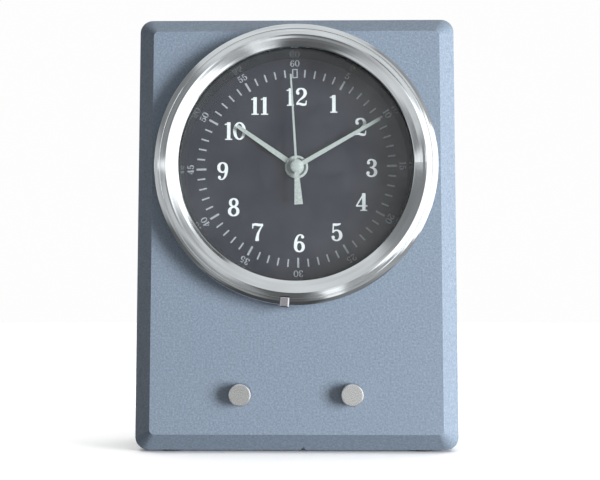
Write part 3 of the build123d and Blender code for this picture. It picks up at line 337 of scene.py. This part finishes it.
wire = Mat("enamel_wire")
turn_relief_and_shade = wire.node("ShaderNodeTexWave", wave_type="BANDS", bands_direction="X", wave_profile="SIN")
turn_relief_and_shade.inputs["Scale"].default_value = 1250.0
turn_relief_and_shade.inputs["Distortion"].default_value = 0.6
turn_relief_and_shade.inputs["Detail"].default_value = 1.0
wire.link(wire.co(), turn_relief_and_shade.inputs["Vector"])
# each turn of wire is painted darker in the crease between turns and lighter on its crest: painted shade and painted
# highlight, on top of the same bands used as bump
wire.set(
    Base_Color=wire.ramp(turn_relief_and_shade.outputs["Fac"], [(0.1, srgb(96, 40, 20)), (0.6, srgb(184, 96, 54)), (0.95, srgb(222, 140, 90))]),
    Metallic=0.85,
    Roughness=wire.span(wire.noise(600.0, 3.0), 0.3, 0.7, 0.24, 0.38),
    Normal=wire.bump(turn_relief_and_shade.outputs["Fac"], 0.6, 0.00012),
)
M["copper_wire"] = wire

board = Mat("laminate_board")
weave_a = board.node("ShaderNodeTexWave", wave_type="BANDS", bands_direction="X")
weave_a.inputs["Scale"].default_value = 380.0
board.link(board.co(), weave_a.inputs["Vector"])
weave_b = board.node("ShaderNodeTexWave", wave_type="BANDS", bands_direction="Z")
weave_b.inputs["Scale"].default_value = 380.0
board.link(board.co(), weave_b.inputs["Vector"])
weave = board.math("MULTIPLY", weave_a.outputs["Fac"], weave_b.outputs["Fac"])
board.set(
    Base_Color=board.mix(
        board.span(board.noise(150.0, 3.0), 0.4, 0.65, 0.0, 0.5),
        board.ramp(weave, [(0.1, srgb(20, 82, 48)), (0.9, srgb(36, 112, 68))]),
        srgb(26, 94, 54),
    ),
    Roughness=board.span(board.noise(200.0, 3.0), 0.3, 0.7, 0.26, 0.4),
    Coat_Weight=0.3,
    Normal=board.bump(weave, 0.2, 0.00005),
)
M["board_green"] = board
M["chip_black"] = cast_plastic("moulded_chip", srgb(28, 28, 30), srgb(46, 46, 48), 0.5, 2200.0, 0.25)
M["crystal_can"] = brushed_metal("tin_can", srgb(202, 203, 204), srgb(140, 141, 144), 0.22, (30.0, 2.0, 2.0), 120.0, 0.12)

# -- supply and controls
M["box_plastic"] = cast_plastic("moulded_box", srgb(30, 31, 33), srgb(54, 55, 58), 0.48, 900.0, 0.28)
M["door_plastic"] = cast_plastic("moulded_door", srgb(34, 35, 38), srgb(60, 61, 65), 0.5, 800.0, 0.35)
sleeve = Mat("printed_sleeve")
sx = sleeve.node("ShaderNodeSeparateXYZ")
sleeve.link(sleeve.co(), sx.inputs[0])
band = sleeve.math("GREATER_THAN", sleeve.math("ABSOLUTE", sx.outputs["X"]), 0.0150)
sleeve.set(
    Base_Color=sleeve.mix(
        band,
        sleeve.mix(sleeve.span(sleeve.noise(300.0, 3.0), 0.4, 0.7, 0.0, 0.6), srgb(38, 52, 88), srgb(52, 68, 108)),
        sleeve.mix(sleeve.span(sleeve.noise(420.0, 3.0), 0.4, 0.7, 0.0, 0.6), srgb(186, 188, 190), srgb(150, 152, 156)),
    ),
    Metallic=sleeve.math("MULTIPLY", band, 0.9),
    Roughness=sleeve.span(sleeve.noise(160.0, 4.0), 0.3, 0.7, 0.22, 0.36),
    Normal=sleeve.bump(sleeve.noise(240.0, 3.0), 0.12, 0.0001),
)
M["cell_sleeve"] = sleeve
M["contact_nickel"] = brushed_metal("nickel_contact", srgb(196, 193, 184), srgb(140, 137, 130), 0.26, (2.0, 18.0, 18.0), 90.0, 0.14)
M["lead_red"] = cast_plastic("sleeve_red", srgb(168, 26, 26), srgb(196, 52, 46), 0.42, 700.0, 0.12)
M["lead_black"] = cast_plastic("sleeve_black", srgb(24, 24, 26), srgb(50, 50, 53), 0.42, 700.0, 0.12)
M["lead_grey"] = cast_plastic("sleeve_grey", srgb(124, 126, 130), srgb(156, 158, 162), 0.44, 700.0, 0.12)
M["button_metal"] = turned_metal("chrome_button", (0.80, 0.81, 0.81, 1), (0.66, 0.67, 0.67, 1), 0.26, 8200.0, 0.07, -0.0255, 0.0269, 0.06)
M["switch_black"] = cast_plastic("moulded_switch", srgb(26, 26, 28), srgb(50, 50, 54), 0.45, 1600.0, 0.2)

SLOT_OF = {
    "front_housing": "hammer_paint", "rear_cover": "cover_paint", "rear_gasket": "gasket_rubber",
    "bezel_gasket": "gasket_rubber", "glass_gasket": "gasket_rubber", "feet": "foot_rubber",
    "rear_screws": "screw_steel", "hanger_rivets": "screw_steel", "seat_screws": "screw_steel",
    "carrier_screws": "screw_steel", "movement_screws": "screw_steel", "battery_box_screws": "screw_steel",
    "board_screws": "screw_steel", "hanger_plates": "plate_steel", "bezel_ring": "bezel_chrome",
    "bezel_lug": "lug_chrome", "bezel_seat_ring": "seat_metal", "glass": "glass_clear",
    "glass_retainer": "spring_steel", "button_spring_left": "spring_steel", "button_spring_right": "spring_steel",
    "reflector_ring": "reflector_black", "dial_plate": "dial_black", "dial_carrier": "carrier_metal",
    "hour_hand": "hand_metal", "minute_hand": "hand_metal", "seconds_hand": "hand_metal",
    "movement_front_plate": "movement_brass", "movement_rear_plate": "movement_brass",
    "hour_wheel": "wheel_brass", "centre_wheel": "wheel_brass", "seconds_wheel": "wheel_brass",
    "third_wheel": "wheel_brass", "intermediate_wheel": "wheel_brass", "minute_wheel": "wheel_brass",
    "movement_pillars": "pinion_steel", "cannon_pinion": "pinion_steel", "door_hinge_pin": "pinion_steel",
    "rotor": "rotor_black", "setting_knob": "knob_plastic", "stator": "stator_steel",
    "coil_bobbin": "bobbin_plastic", "coil_winding": "copper_wire", "circuit_board": "board_green",
    "switch_board": "board_green", "chip": "chip_black", "crystal": "crystal_can",
    "battery_box": "box_plastic", "cells": "cell_sleeve", "battery_contacts": "contact_nickel",
    "battery_door": "door_plastic", "battery_lead_plus": "lead_red", "battery_lead_minus": "lead_black",
    "switch_leads": "lead_grey", "button_left": "button_metal", "button_right": "button_metal",
    "switches": "switch_black",
}


def wear(obj, mat):
    obj.data.materials.clear()
    obj.data.materials.append(mat.m)


right_button = turned_metal("chrome_button_right", (0.80, 0.81, 0.81, 1), (0.66, 0.67, 0.67, 1), 0.26, 8200.0, 0.07, 0.0255, 0.0269, 0.06)
for name, obj in nodes.items():
    slot = SLOT_OF[name]
    wear(obj, right_button if name == "button_right" else M[slot])


def soften(obj, width, segments=2, angle=30.0):
    """A small rounding on a CAD node's sharp edges, kept inside its own skin."""
    b = obj.modifiers.new("edge", "BEVEL")
    b.width = width
    b.segments = segments
    b.limit_method = "ANGLE"
    b.angle_limit = math.radians(angle)
    b.harden_normals = False
    b.use_clamp_overlap = True


soften(nodes["front_housing"], 0.0006, 3, 20.0)
soften(nodes["rear_cover"], 0.0003, 2, 40.0)

# ------------------------------------------------------------------ print on the dial
def numeral_strokes(d):
    """The parts of one roman-serif figure as polygons in a box one unit high."""
    parts = []
    thin, thick = 0.082, 0.185

    def line(points, widths):
        """A stroke along a path, drawn as a run of quadrilaterals."""
        pts = [Vector(p) for p in points]
        n = len(pts)
        left, right = [], []
        for i, p in enumerate(pts):
            a, b = pts[max(i - 1, 0)], pts[min(i + 1, n - 1)]
            t = (b - a).normalized()
            side = Vector((-t.y, t.x)) * widths[i] / 2
            left.append(p + side)
            right.append(p - side)
        for i in range(n - 1):
            parts.append([right[i], right[i + 1], left[i + 1], left[i]])

    def arc(cx, cy, rx, ry, a0, a1, w_side=thick, w_top=thin, n=22, ends=(1.0, 1.0)):
        pts, ws = [], []
        for i in range(n + 1):
            u = i / n
            a = math.radians(a0 + (a1 - a0) * u)
            pts.append((cx + rx * math.cos(a), cy + ry * math.sin(a)))
            w = w_top + (w_side - w_top) * abs(math.cos(a)) ** 1.5
            w *= ends[0] + (1 - ends[0]) * min(u * 4, 1) if u < 0.25 else 1
            w *= ends[1] + (1 - ends[1]) * min((1 - u) * 4, 1) if u > 0.75 else 1
            ws.append(w)
        line(pts, ws)

    def curve(p0, p1, p2, p3, w, n=14):
        pts, ws = [], []
        for i in range(n + 1):
            t = i / n
            k = ((1 - t) ** 3, 3 * t * (1 - t) ** 2, 3 * t * t * (1 - t), t ** 3)
            pts.append(tuple(sum(k[j] * q[c] for j, q in enumerate((p0, p1, p2, p3))) for c in (0, 1)))
            s = t * (len(w) - 1)
            j = min(int(s), len(w) - 2)
            ws.append(w[j] + (w[j + 1] - w[j]) * (s - j))
        line(pts, ws)

    def ball(cx, cy, r, n=16):
        parts.append([Vector((cx + r * math.cos(2 * math.pi * i / n), cy + r * math.sin(2 * math.pi * i / n))) for i in range(n)])

    def bar(x0, y0, x1, y1, w0, w1=None):
        line([(x0, y0), (x1, y1)], [w0, w0 if w1 is None else w1])

    if d == "0":
        arc(0.36, 0.5, 0.265, 0.462, 0, 360, thick, thin, 44)
    elif d == "1":
        bar(0.30, 0.02, 0.30, 0.995, thick + 0.01)
        bar(0.10, 0.032, 0.50, 0.032, 0.064)
        curve((0.34, 0.965), (0.27, 0.93), (0.20, 0.875), (0.08, 0.87), [0.07, 0.075, 0.06])
    elif d == "2":
        ball(0.165, 0.715, 0.092)
        arc(0.345, 0.725, 0.235, 0.245, 178, -12, thick, thin, 24, (0.5, 1.0))
        curve((0.575, 0.685), (0.55, 0.44), (0.17, 0.36), (0.105, 0.075), [thick * 0.98, thick * 0.72, 0.075, 0.07], 16)
        curve((0.085, 0.075), (0.25, 0.20), (0.40, 0.00), (0.60, 0.075), [0.10, 0.13, 0.145, 0.12], 14)
        bar(0.605, 0.05, 0.645, 0.29, 0.085, 0.05)
    elif d == "3":
        ball(0.165, 0.785, 0.088)
        arc(0.325, 0.755, 0.205, 0.21, 170, -82, thick, thin, 26, (0.5, 0.9))
        arc(0.320, 0.270, 0.240, 0.237, 88, -172, thick, thin, 28, (0.9, 0.5))
        bar(0.24, 0.53, 0.37, 0.53, 0.065)
        ball(0.145, 0.225, 0.092)
    elif d == "4":
        bar(0.475, 0.02, 0.475, 0.985, thick + 0.005)
        bar(0.475, 0.965, 0.075, 0.285, 0.075)
        bar(0.045, 0.275, 0.680, 0.275, 0.072)
        bar(0.285, 0.032, 0.665, 0.032, 0.064)
    elif d == "5":
        curve((0.155, 0.925), (0.28, 0.885), (0.42, 0.90), (0.575, 0.965), [0.125, 0.14, 0.12, 0.06])
        bar(0.165, 0.965, 0.145, 0.455, 0.065)
        arc(0.335, 0.315, 0.240, 0.283, 148, -170, thick, thin, 32, (0.6, 0.5))
        ball(0.155, 0.205, 0.092)
    elif d == "6":
        arc(0.365, 0.295, 0.215, 0.262, 0, 360, thick * 0.95, thin, 36)
        curve((0.555, 0.915), (0.34, 1.06), (0.135, 0.84), (0.150, 0.30), [0.06, 0.075, 0.14, thick], 22)
        ball(0.540, 0.840, 0.086)
    elif d == "7":
        curve((0.105, 0.895), (0.27, 0.99), (0.40, 0.83), (0.645, 0.925), [0.12, 0.14, 0.15, 0.11], 16)
        bar(0.095, 0.965, 0.075, 0.695, 0.085, 0.05)
        curve((0.635, 0.905), (0.44, 0.60), (0.315, 0.40), (0.325, 0.005), [0.065, 0.09, 0.15, thick + 0.02], 18)
    elif d == "8":
        arc(0.360, 0.752, 0.188, 0.212, 0, 360, thick * 0.86, thin, 36)
        arc(0.360, 0.270, 0.233, 0.238, 0, 360, thick * 0.96, thin, 40)
    elif d == "9":
        for poly in numeral_strokes("6"):
            parts.append([Vector((0.72 - p.x, 1.0 - p.y)) for p in poly])
    return parts


ADVANCE = {"0": 0.73, "1": 0.58, "2": 0.73, "3": 0.70, "4": 0.73, "5": 0.71, "6": 0.72, "7": 0.72, "8": 0.72, "9": 0.72}


def print_mesh(name, polygons, y_back, thickness):
    """One closed, slightly raised layer of print made from overlapping flat polygons in x, z metres."""
    verts, faces = [], []
    for poly in polygons:
        start = len(verts)
        turn = sum(p[0] * q[1] - q[0] * p[1] for p, q in zip(poly, [*poly[1:], poly[0]]))
        verts += [Vector((p[0], p[1])) for p in (poly if turn > 0 else reversed(poly))]
        faces.append(list(range(start, start + len(poly))))
    k = 1000.0
    vs, _, fs, _, _, owners = delaunay_2d_cdt([v * k for v in verts], [], faces, 0, 1e-5)
    keep = [f for f, own in zip(fs, owners) if own]
    bm = bmesh.new()
    top = [bm.verts.new((v.x / k, y_back - thickness, v.y / k)) for v in vs]
    low = [bm.verts.new((v.x / k, y_back, v.y / k)) for v in vs]
    edges = {}
    for f in keep:
        a, b, c = (Vector(vs[i]) for i in f[:3])
        if (b - a).cross(c - a) < 0:
            f = f[::-1]
        try:
            bm.faces.new([top[i] for i in f])
            bm.faces.new([low[i] for i in reversed(f)])
        except ValueError:
            continue
        for i, j in zip(f, f[1:] + f[:1]):
            edges[(i, j)] = edges.get((i, j), 0) + 1
    for (i, j) in edges:
        if (j, i) not in edges:
            bm.faces.new([top[j], top[i], low[i], low[j]])
    bmesh.ops.delete(bm, geom=[v for v in bm.verts if not v.link_faces], context="VERTS")
    bmesh.ops.recalc_face_normals(bm, faces=bm.faces)
    me = bpy.data.meshes.new(name)
    bm.to_mesh(me)
    bm.free()
    ob = bpy.data.objects.new(name, me)
    scene.collection.objects.link(ob)
    return ob


def text_polys(text, height, cx, cz, turn=0.0, squeeze=1.0, track=0.0):
    """Figures centred on a point; turn is clockwise in degrees."""
    width = sum(ADVANCE[c] for c in text) * squeeze + track * (len(text) - 1)
    x = -width / 2
    out = []
    a = math.radians(turn)
    for c in text:
        for poly in numeral_strokes(c):
            pts = []
            for p in poly:
                u = (x + p.x * squeeze) * height
                v = (p.y - 0.5) * height
                pts.append((cx + u * math.cos(a) + v * math.sin(a), cz - u * math.sin(a) + v * math.cos(a)))
            out.append(pts)
        x += ADVANCE[c] * squeeze + track
    return out


def quad(cx, cz, r0, r1, angle, width, offset=0.0):
    """A radial mark, angle clockwise from twelve in degrees."""
    a = math.radians(angle)
    d, n = Vector((math.sin(a), math.cos(a))), Vector((math.cos(a), -math.sin(a)))
    o = Vector((cx, cz)) + n * offset
    w = n * width / 2
    return [tuple(o + d * r0 - w), tuple(o + d * r1 - w), tuple(o + d * r1 + w), tuple(o + d * r0 + w)]


ink = Mat("print_white")
ink_fine = ink.noise(1800.0, 3.0, 0.6)
ink.set(
    Base_Color=ink.ramp(ink_fine, [(0.25, srgb(206, 208, 214)), (0.55, srgb(228, 230, 235)), (0.8, srgb(240, 241, 245))]),
    Roughness=ink.span(ink.noise(500.0, 3.0), 0.3, 0.7, 0.42, 0.58),
    Normal=ink.bump(ink_fine, 0.2, 0.00003),
)

faint = Mat("print_grey")
faint_fine = faint.noise(1800.0, 3.0, 0.6)
faint.set(
    Base_Color=faint.ramp(faint_fine, [(0.25, srgb(140, 142, 150)), (0.55, srgb(164, 166, 174)), (0.8, srgb(184, 186, 194))]),
    Roughness=faint.span(faint.noise(500.0, 3.0), 0.3, 0.7, 0.44, 0.60),
    Normal=faint.bump(faint_fine, 0.2, 0.00003),
)

PRINT_T = 0.00004
PRINT_Y = DIAL_Y + 0.000005
TILT = -1.0      # the print sits turned a touch anticlockwise
CENTRES = {
    "12": (0.0, 33.9), "1": (17.6, 30.5), "2": (30.4, 19.4), "3": (35.5, -0.2), "4": (30.7, -16.3),
    "5": (18.9, -30.5), "6": (1.3, -35.7), "7": (-18.2, -30.5), "8": (-29.6, -18.7), "9": (-34.9, -1.6),
    "10": (-29.3, 17.6), "11": (-17.5, 29.6),
}
numerals = []
for text, (x, z) in CENTRES.items():
    numerals += text_polys(text, 8.5 * MM, x * MM, DIAL_Z + z * MM, 0.0, 1.0, -0.04 if len(text) > 1 else 0.0)
hours = print_mesh("dial_numerals", numerals, PRINT_Y, PRINT_T)

marks = []
for i in range(60):
    a = i * 6.0 + TILT
    if i == 0:
        marks.append(quad(0, DIAL_Z, 43.0 * MM, 47.4 * MM, a, 0.55 * MM, -1.05 * MM))
        marks.append(quad(0, DIAL_Z, 43.0 * MM, 47.4 * MM, a, 0.55 * MM, 1.05 * MM))
        marks.append(quad(0, DIAL_Z, 43.0 * MM, 43.5 * MM, a, 2.6 * MM))
        marks.append(quad(0, DIAL_Z, 46.9 * MM, 47.4 * MM, a, 2.6 * MM))
    elif i % 5 == 0:
        marks.append(quad(0, DIAL_Z, 42.6 * MM, 47.3 * MM, a, 0.95 * MM))
    else:
        marks.append(quad(0, DIAL_Z, 43.4 * MM, 47.1 * MM, a, 0.72 * MM))
track = print_mesh("dial_minute_track", marks, PRINT_Y, PRINT_T)

labels = []
for i in range(1, 13):
    a = i * 30.0 + TILT
    r = 50.1 * MM
    x, z = r * math.sin(math.radians(a)), r * math.cos(math.radians(a))
    labels += text_polys(str(i * 5), 3.1 * MM, x, DIAL_Z + z, a, 1.05)
minutes = print_mesh("dial_minute_figures", labels, PRINT_Y, PRINT_T)

for ob in (hours, track, minutes):
    wear(ob, ink if ob is hours else faint)
    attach(ob, "case")

# ------------------------------------------------------------------ stage
def plane(name, verts, faces, mat):
    me = bpy.data.meshes.new(name)
    me.from_pydata(verts, [], faces)
    me.update()
    ob = bpy.data.objects.new(name, me)
    scene.collection.objects.link(ob)
    ob.data.materials.append(mat.m)
    return ob


paper = Mat("paper_floor")
paper.set(
    Base_Color=paper.mix(paper.span(paper.noise(9.0, 3.0), 0.3, 0.7, 0.0, 1.0), (0.93, 0.93, 0.93, 1), (0.95, 0.95, 0.95, 1)),
    Roughness=0.9,
    Specular_IOR_Level=0.1,
)
pts = [(0.0, 0.0, 0.0)]
N = 64
for r in (1.0, 12.0):
    pts += [(r * math.cos(2 * math.pi * i / N), r * math.sin(2 * math.pi * i / N), 0.0) for i in range(N)]
faces = [(0, 1 + i, 1 + (i + 1) % N) for i in range(N)]
faces += [(1 + i, 1 + N + i, 1 + N + (i + 1) % N, 1 + (i + 1) % N) for i in range(N)]
floor = plane("stage_floor", pts, faces, paper)
floor.visible_glossy = False
floor.visible_diffuse = False
floor.visible_shadow = False


def area(name, loc, target, size, size_y, power, colour=(1, 1, 1)):
    d = bpy.data.lights.new(name, "AREA")
    d.shape = "RECTANGLE"
    d.size, d.size_y = size, size_y
    d.energy = power
    d.color = colour
    ob = bpy.data.objects.new(name, d)
    scene.collection.objects.link(ob)
    ob.location = loc
    ob.rotation_mode = "QUATERNION"
    ob.rotation_quaternion = (Vector(target) - Vector(loc)).to_track_quat("-Z", "Y")
    return ob


centre = (0.0, -0.03, 0.11)
key = area("softbox_right", (1.44, -1.04, 0.08), centre, 0.72, 0.95, 82.0)
key.visible_glossy = False      # polished surfaces mirror the window of the world below instead

# an even overhead wash on the floor alone keeps it pale out to the horizon
wash = bpy.data.lights.new("floor_wash", "SUN")
wash.energy = 3.4
wash.angle = math.radians(90)
wash_ob = bpy.data.objects.new("floor_wash", wash)
scene.collection.objects.link(wash_ob)
wash_ob.location = (0, 0, 2)
only_floor = bpy.data.collections.new("lit_by_wash")
only_floor.objects.link(floor)
wash_ob.light_linking.receiver_collection = only_floor

world = bpy.data.worlds.new("studio")
scene.world = world
world.use_nodes = True
wt = world.node_tree
bg = wt.nodes["Background"]


def wmath(op, a, b=None, clamp=False):
    n = wt.nodes.new("ShaderNodeMath")
    n.operation = op
    n.use_clamp = clamp
    for i, v in enumerate((a, b)):
        if v is None:
            continue
        if isinstance(v, (int, float)):
            n.inputs[i].default_value = v
        else:
            wt.links.new(v, n.inputs[i])
    return n.outputs[0]


def wspan(v, a0, a1, b0, b1, smooth=True):
    n = wt.nodes.new("ShaderNodeMapRange")
    n.interpolation_type = "SMOOTHSTEP" if smooth else "LINEAR"
    for key, val in (("From Min", a0), ("From Max", a1), ("To Min", b0), ("To Max", b1)):
        n.inputs[key].default_value = val
    wt.links.new(v, n.inputs["Value"])
    return n.outputs["Result"]


# the room, by direction: x to the right, z up, everything in front of the object
wc = wt.nodes.new("ShaderNodeTexCoord")
ws = wt.nodes.new("ShaderNodeSeparateXYZ")
wt.links.new(wc.outputs["Generated"], ws.inputs[0])
wx, wy, wz = ws.outputs


def over(below, cx, cz, hx, hz, turn, level, edge):
    """Lay a soft-edged rectangular panel of one brightness over what is below it."""
    a = math.radians(turn)
    dx, dz = wmath("SUBTRACT", wx, cx), wmath("SUBTRACT", wz, cz)
    u = wmath("ABSOLUTE", wmath("ADD", wmath("MULTIPLY", dx, math.cos(a)), wmath("MULTIPLY", dz, math.sin(a))))
    v = wmath("ABSOLUTE", wmath("SUBTRACT", wmath("MULTIPLY", dz, math.cos(a)), wmath("MULTIPLY", dx, math.sin(a))))
    inside = wmath("MULTIPLY", wspan(u, hx - edge / 2, hx + edge / 2, 1, 0), wspan(v, hz - edge / 2, hz + edge / 2, 1, 0))
    return wmath("ADD", wmath("MULTIPLY", below, wmath("SUBTRACT", 1.0, inside)), wmath("MULTIPLY", inside, level))


wn = wt.nodes.new("ShaderNodeTexNoise")
wn.inputs["Scale"].default_value = 4.5
wn.inputs["Detail"].default_value = 3.0
wt.links.new(wc.outputs["Generated"], wn.inputs["Vector"])
unevenness = wspan(wn.outputs["Fac"], 0.3, 0.7, 0.84, 1.16, False)
glow = wspan(wz, -0.7, 0.3, 0.34, 0.44)
for p in (
    (0.00, 0.80, 0.62, 0.42, 0, 0.78, 0.10),         # ceiling
    (-0.66, 0.47, 0.52, 0.22, -42, 0.27, 0.10),      # dim upper wall on the left
    (0.60, 0.70, 0.22, 0.10, -40, 0.36, 0.10),       # curtain head above the window
    (-0.90, 0.05, 0.16, 0.22, 0, 0.60, 0.14),        # pale wall far to the left
    (-0.62, -0.09, 0.11, 0.15, 0, 0.62, 0.10),
    (-0.32, -0.23, 0.16, 0.17, 25, 0.66, 0.10),      # table edge on the left
    (-0.30, -0.01, 0.075, 0.10, 0, 0.86, 0.06),
    (0.46, -0.54, 0.40, 0.13, -32, 0.42, 0.10),      # floor by the window
    (0.50, -0.92, 0.55, 0.26, 0, 0.22, 0.14),        # floor to the right
    (-0.45, -0.92, 0.62, 0.26, 0, 0.07, 0.16),       # floor to the left
    (-0.86, -0.46, 0.26, 0.20, 20, 0.13, 0.14),
    (0.67, 0.03, 0.38, 0.38, -6, 1.70, 0.06),        # window on the right
    (0.31, 0.05, 0.12, 0.21, 8, 1.50, 0.07),
    (0.125, -0.37, 0.29, 0.055, -71, 1.30, 0.045),   # its foot, reflected in the table
    (-0.07, -0.46, 0.13, 0.30, 0, 0.13, 0.12),       # the viewer
    (-0.58, 0.145, 0.24, 0.022, 0, 1.25, 0.035),     # gap in the blind on the left
    (0.335, 0.465, 0.12, 0.034, -42, 0.08, 0.04),    # lamp bracket
):
    glow = over(glow, *p)
glow = wmath("MULTIPLY", glow, unevenness)
rear = wspan(wy, 0.25, 1.0, 0.0, 0.34)
fill = wmath("ADD", wmath("ADD", 0.07, rear), wmath("MULTIPLY", wspan(wy, -0.50, -0.95, 0.0, 0.78), wspan(wz, 0.45, -0.05, 0.04, 1.07)))
path = wt.nodes.new("ShaderNodeLightPath")
is_cam, is_dif = path.outputs["Is Camera Ray"], path.outputs["Is Diffuse Ray"]
seen = wmath("ADD", wmath("MULTIPLY", glow, wmath("SUBTRACT", 1.0, is_dif)), wmath("MULTIPLY", fill, is_dif))
level = wmath("ADD", wmath("MULTIPLY", seen, wmath("SUBTRACT", 1.0, is_cam)), wmath("MULTIPLY", is_cam, 0.985))
bg.inputs["Color"].default_value = (1.0, 1.0, 1.0, 1)
wt.links.new(level, bg.inputs["Strength"])

scene.view_settings.view_transform = "Standard"

# ------------------------------------------------------------------ camera
cam_data = bpy.data.cameras.new("camera")
cam_data.lens = 58.58
cam_data.sensor_width = 36.0
cam_data.clip_start, cam_data.clip_end = 0.01, 20.0
cam = bpy.data.objects.new("camera", cam_data)
scene.collection.objects.link(cam)
cam.location = (0.00793, -0.477, 0.0618)
cam.rotation_euler = (math.radians(90 + 4.558), 0.0, math.radians(0.791))
scene.camera = cam
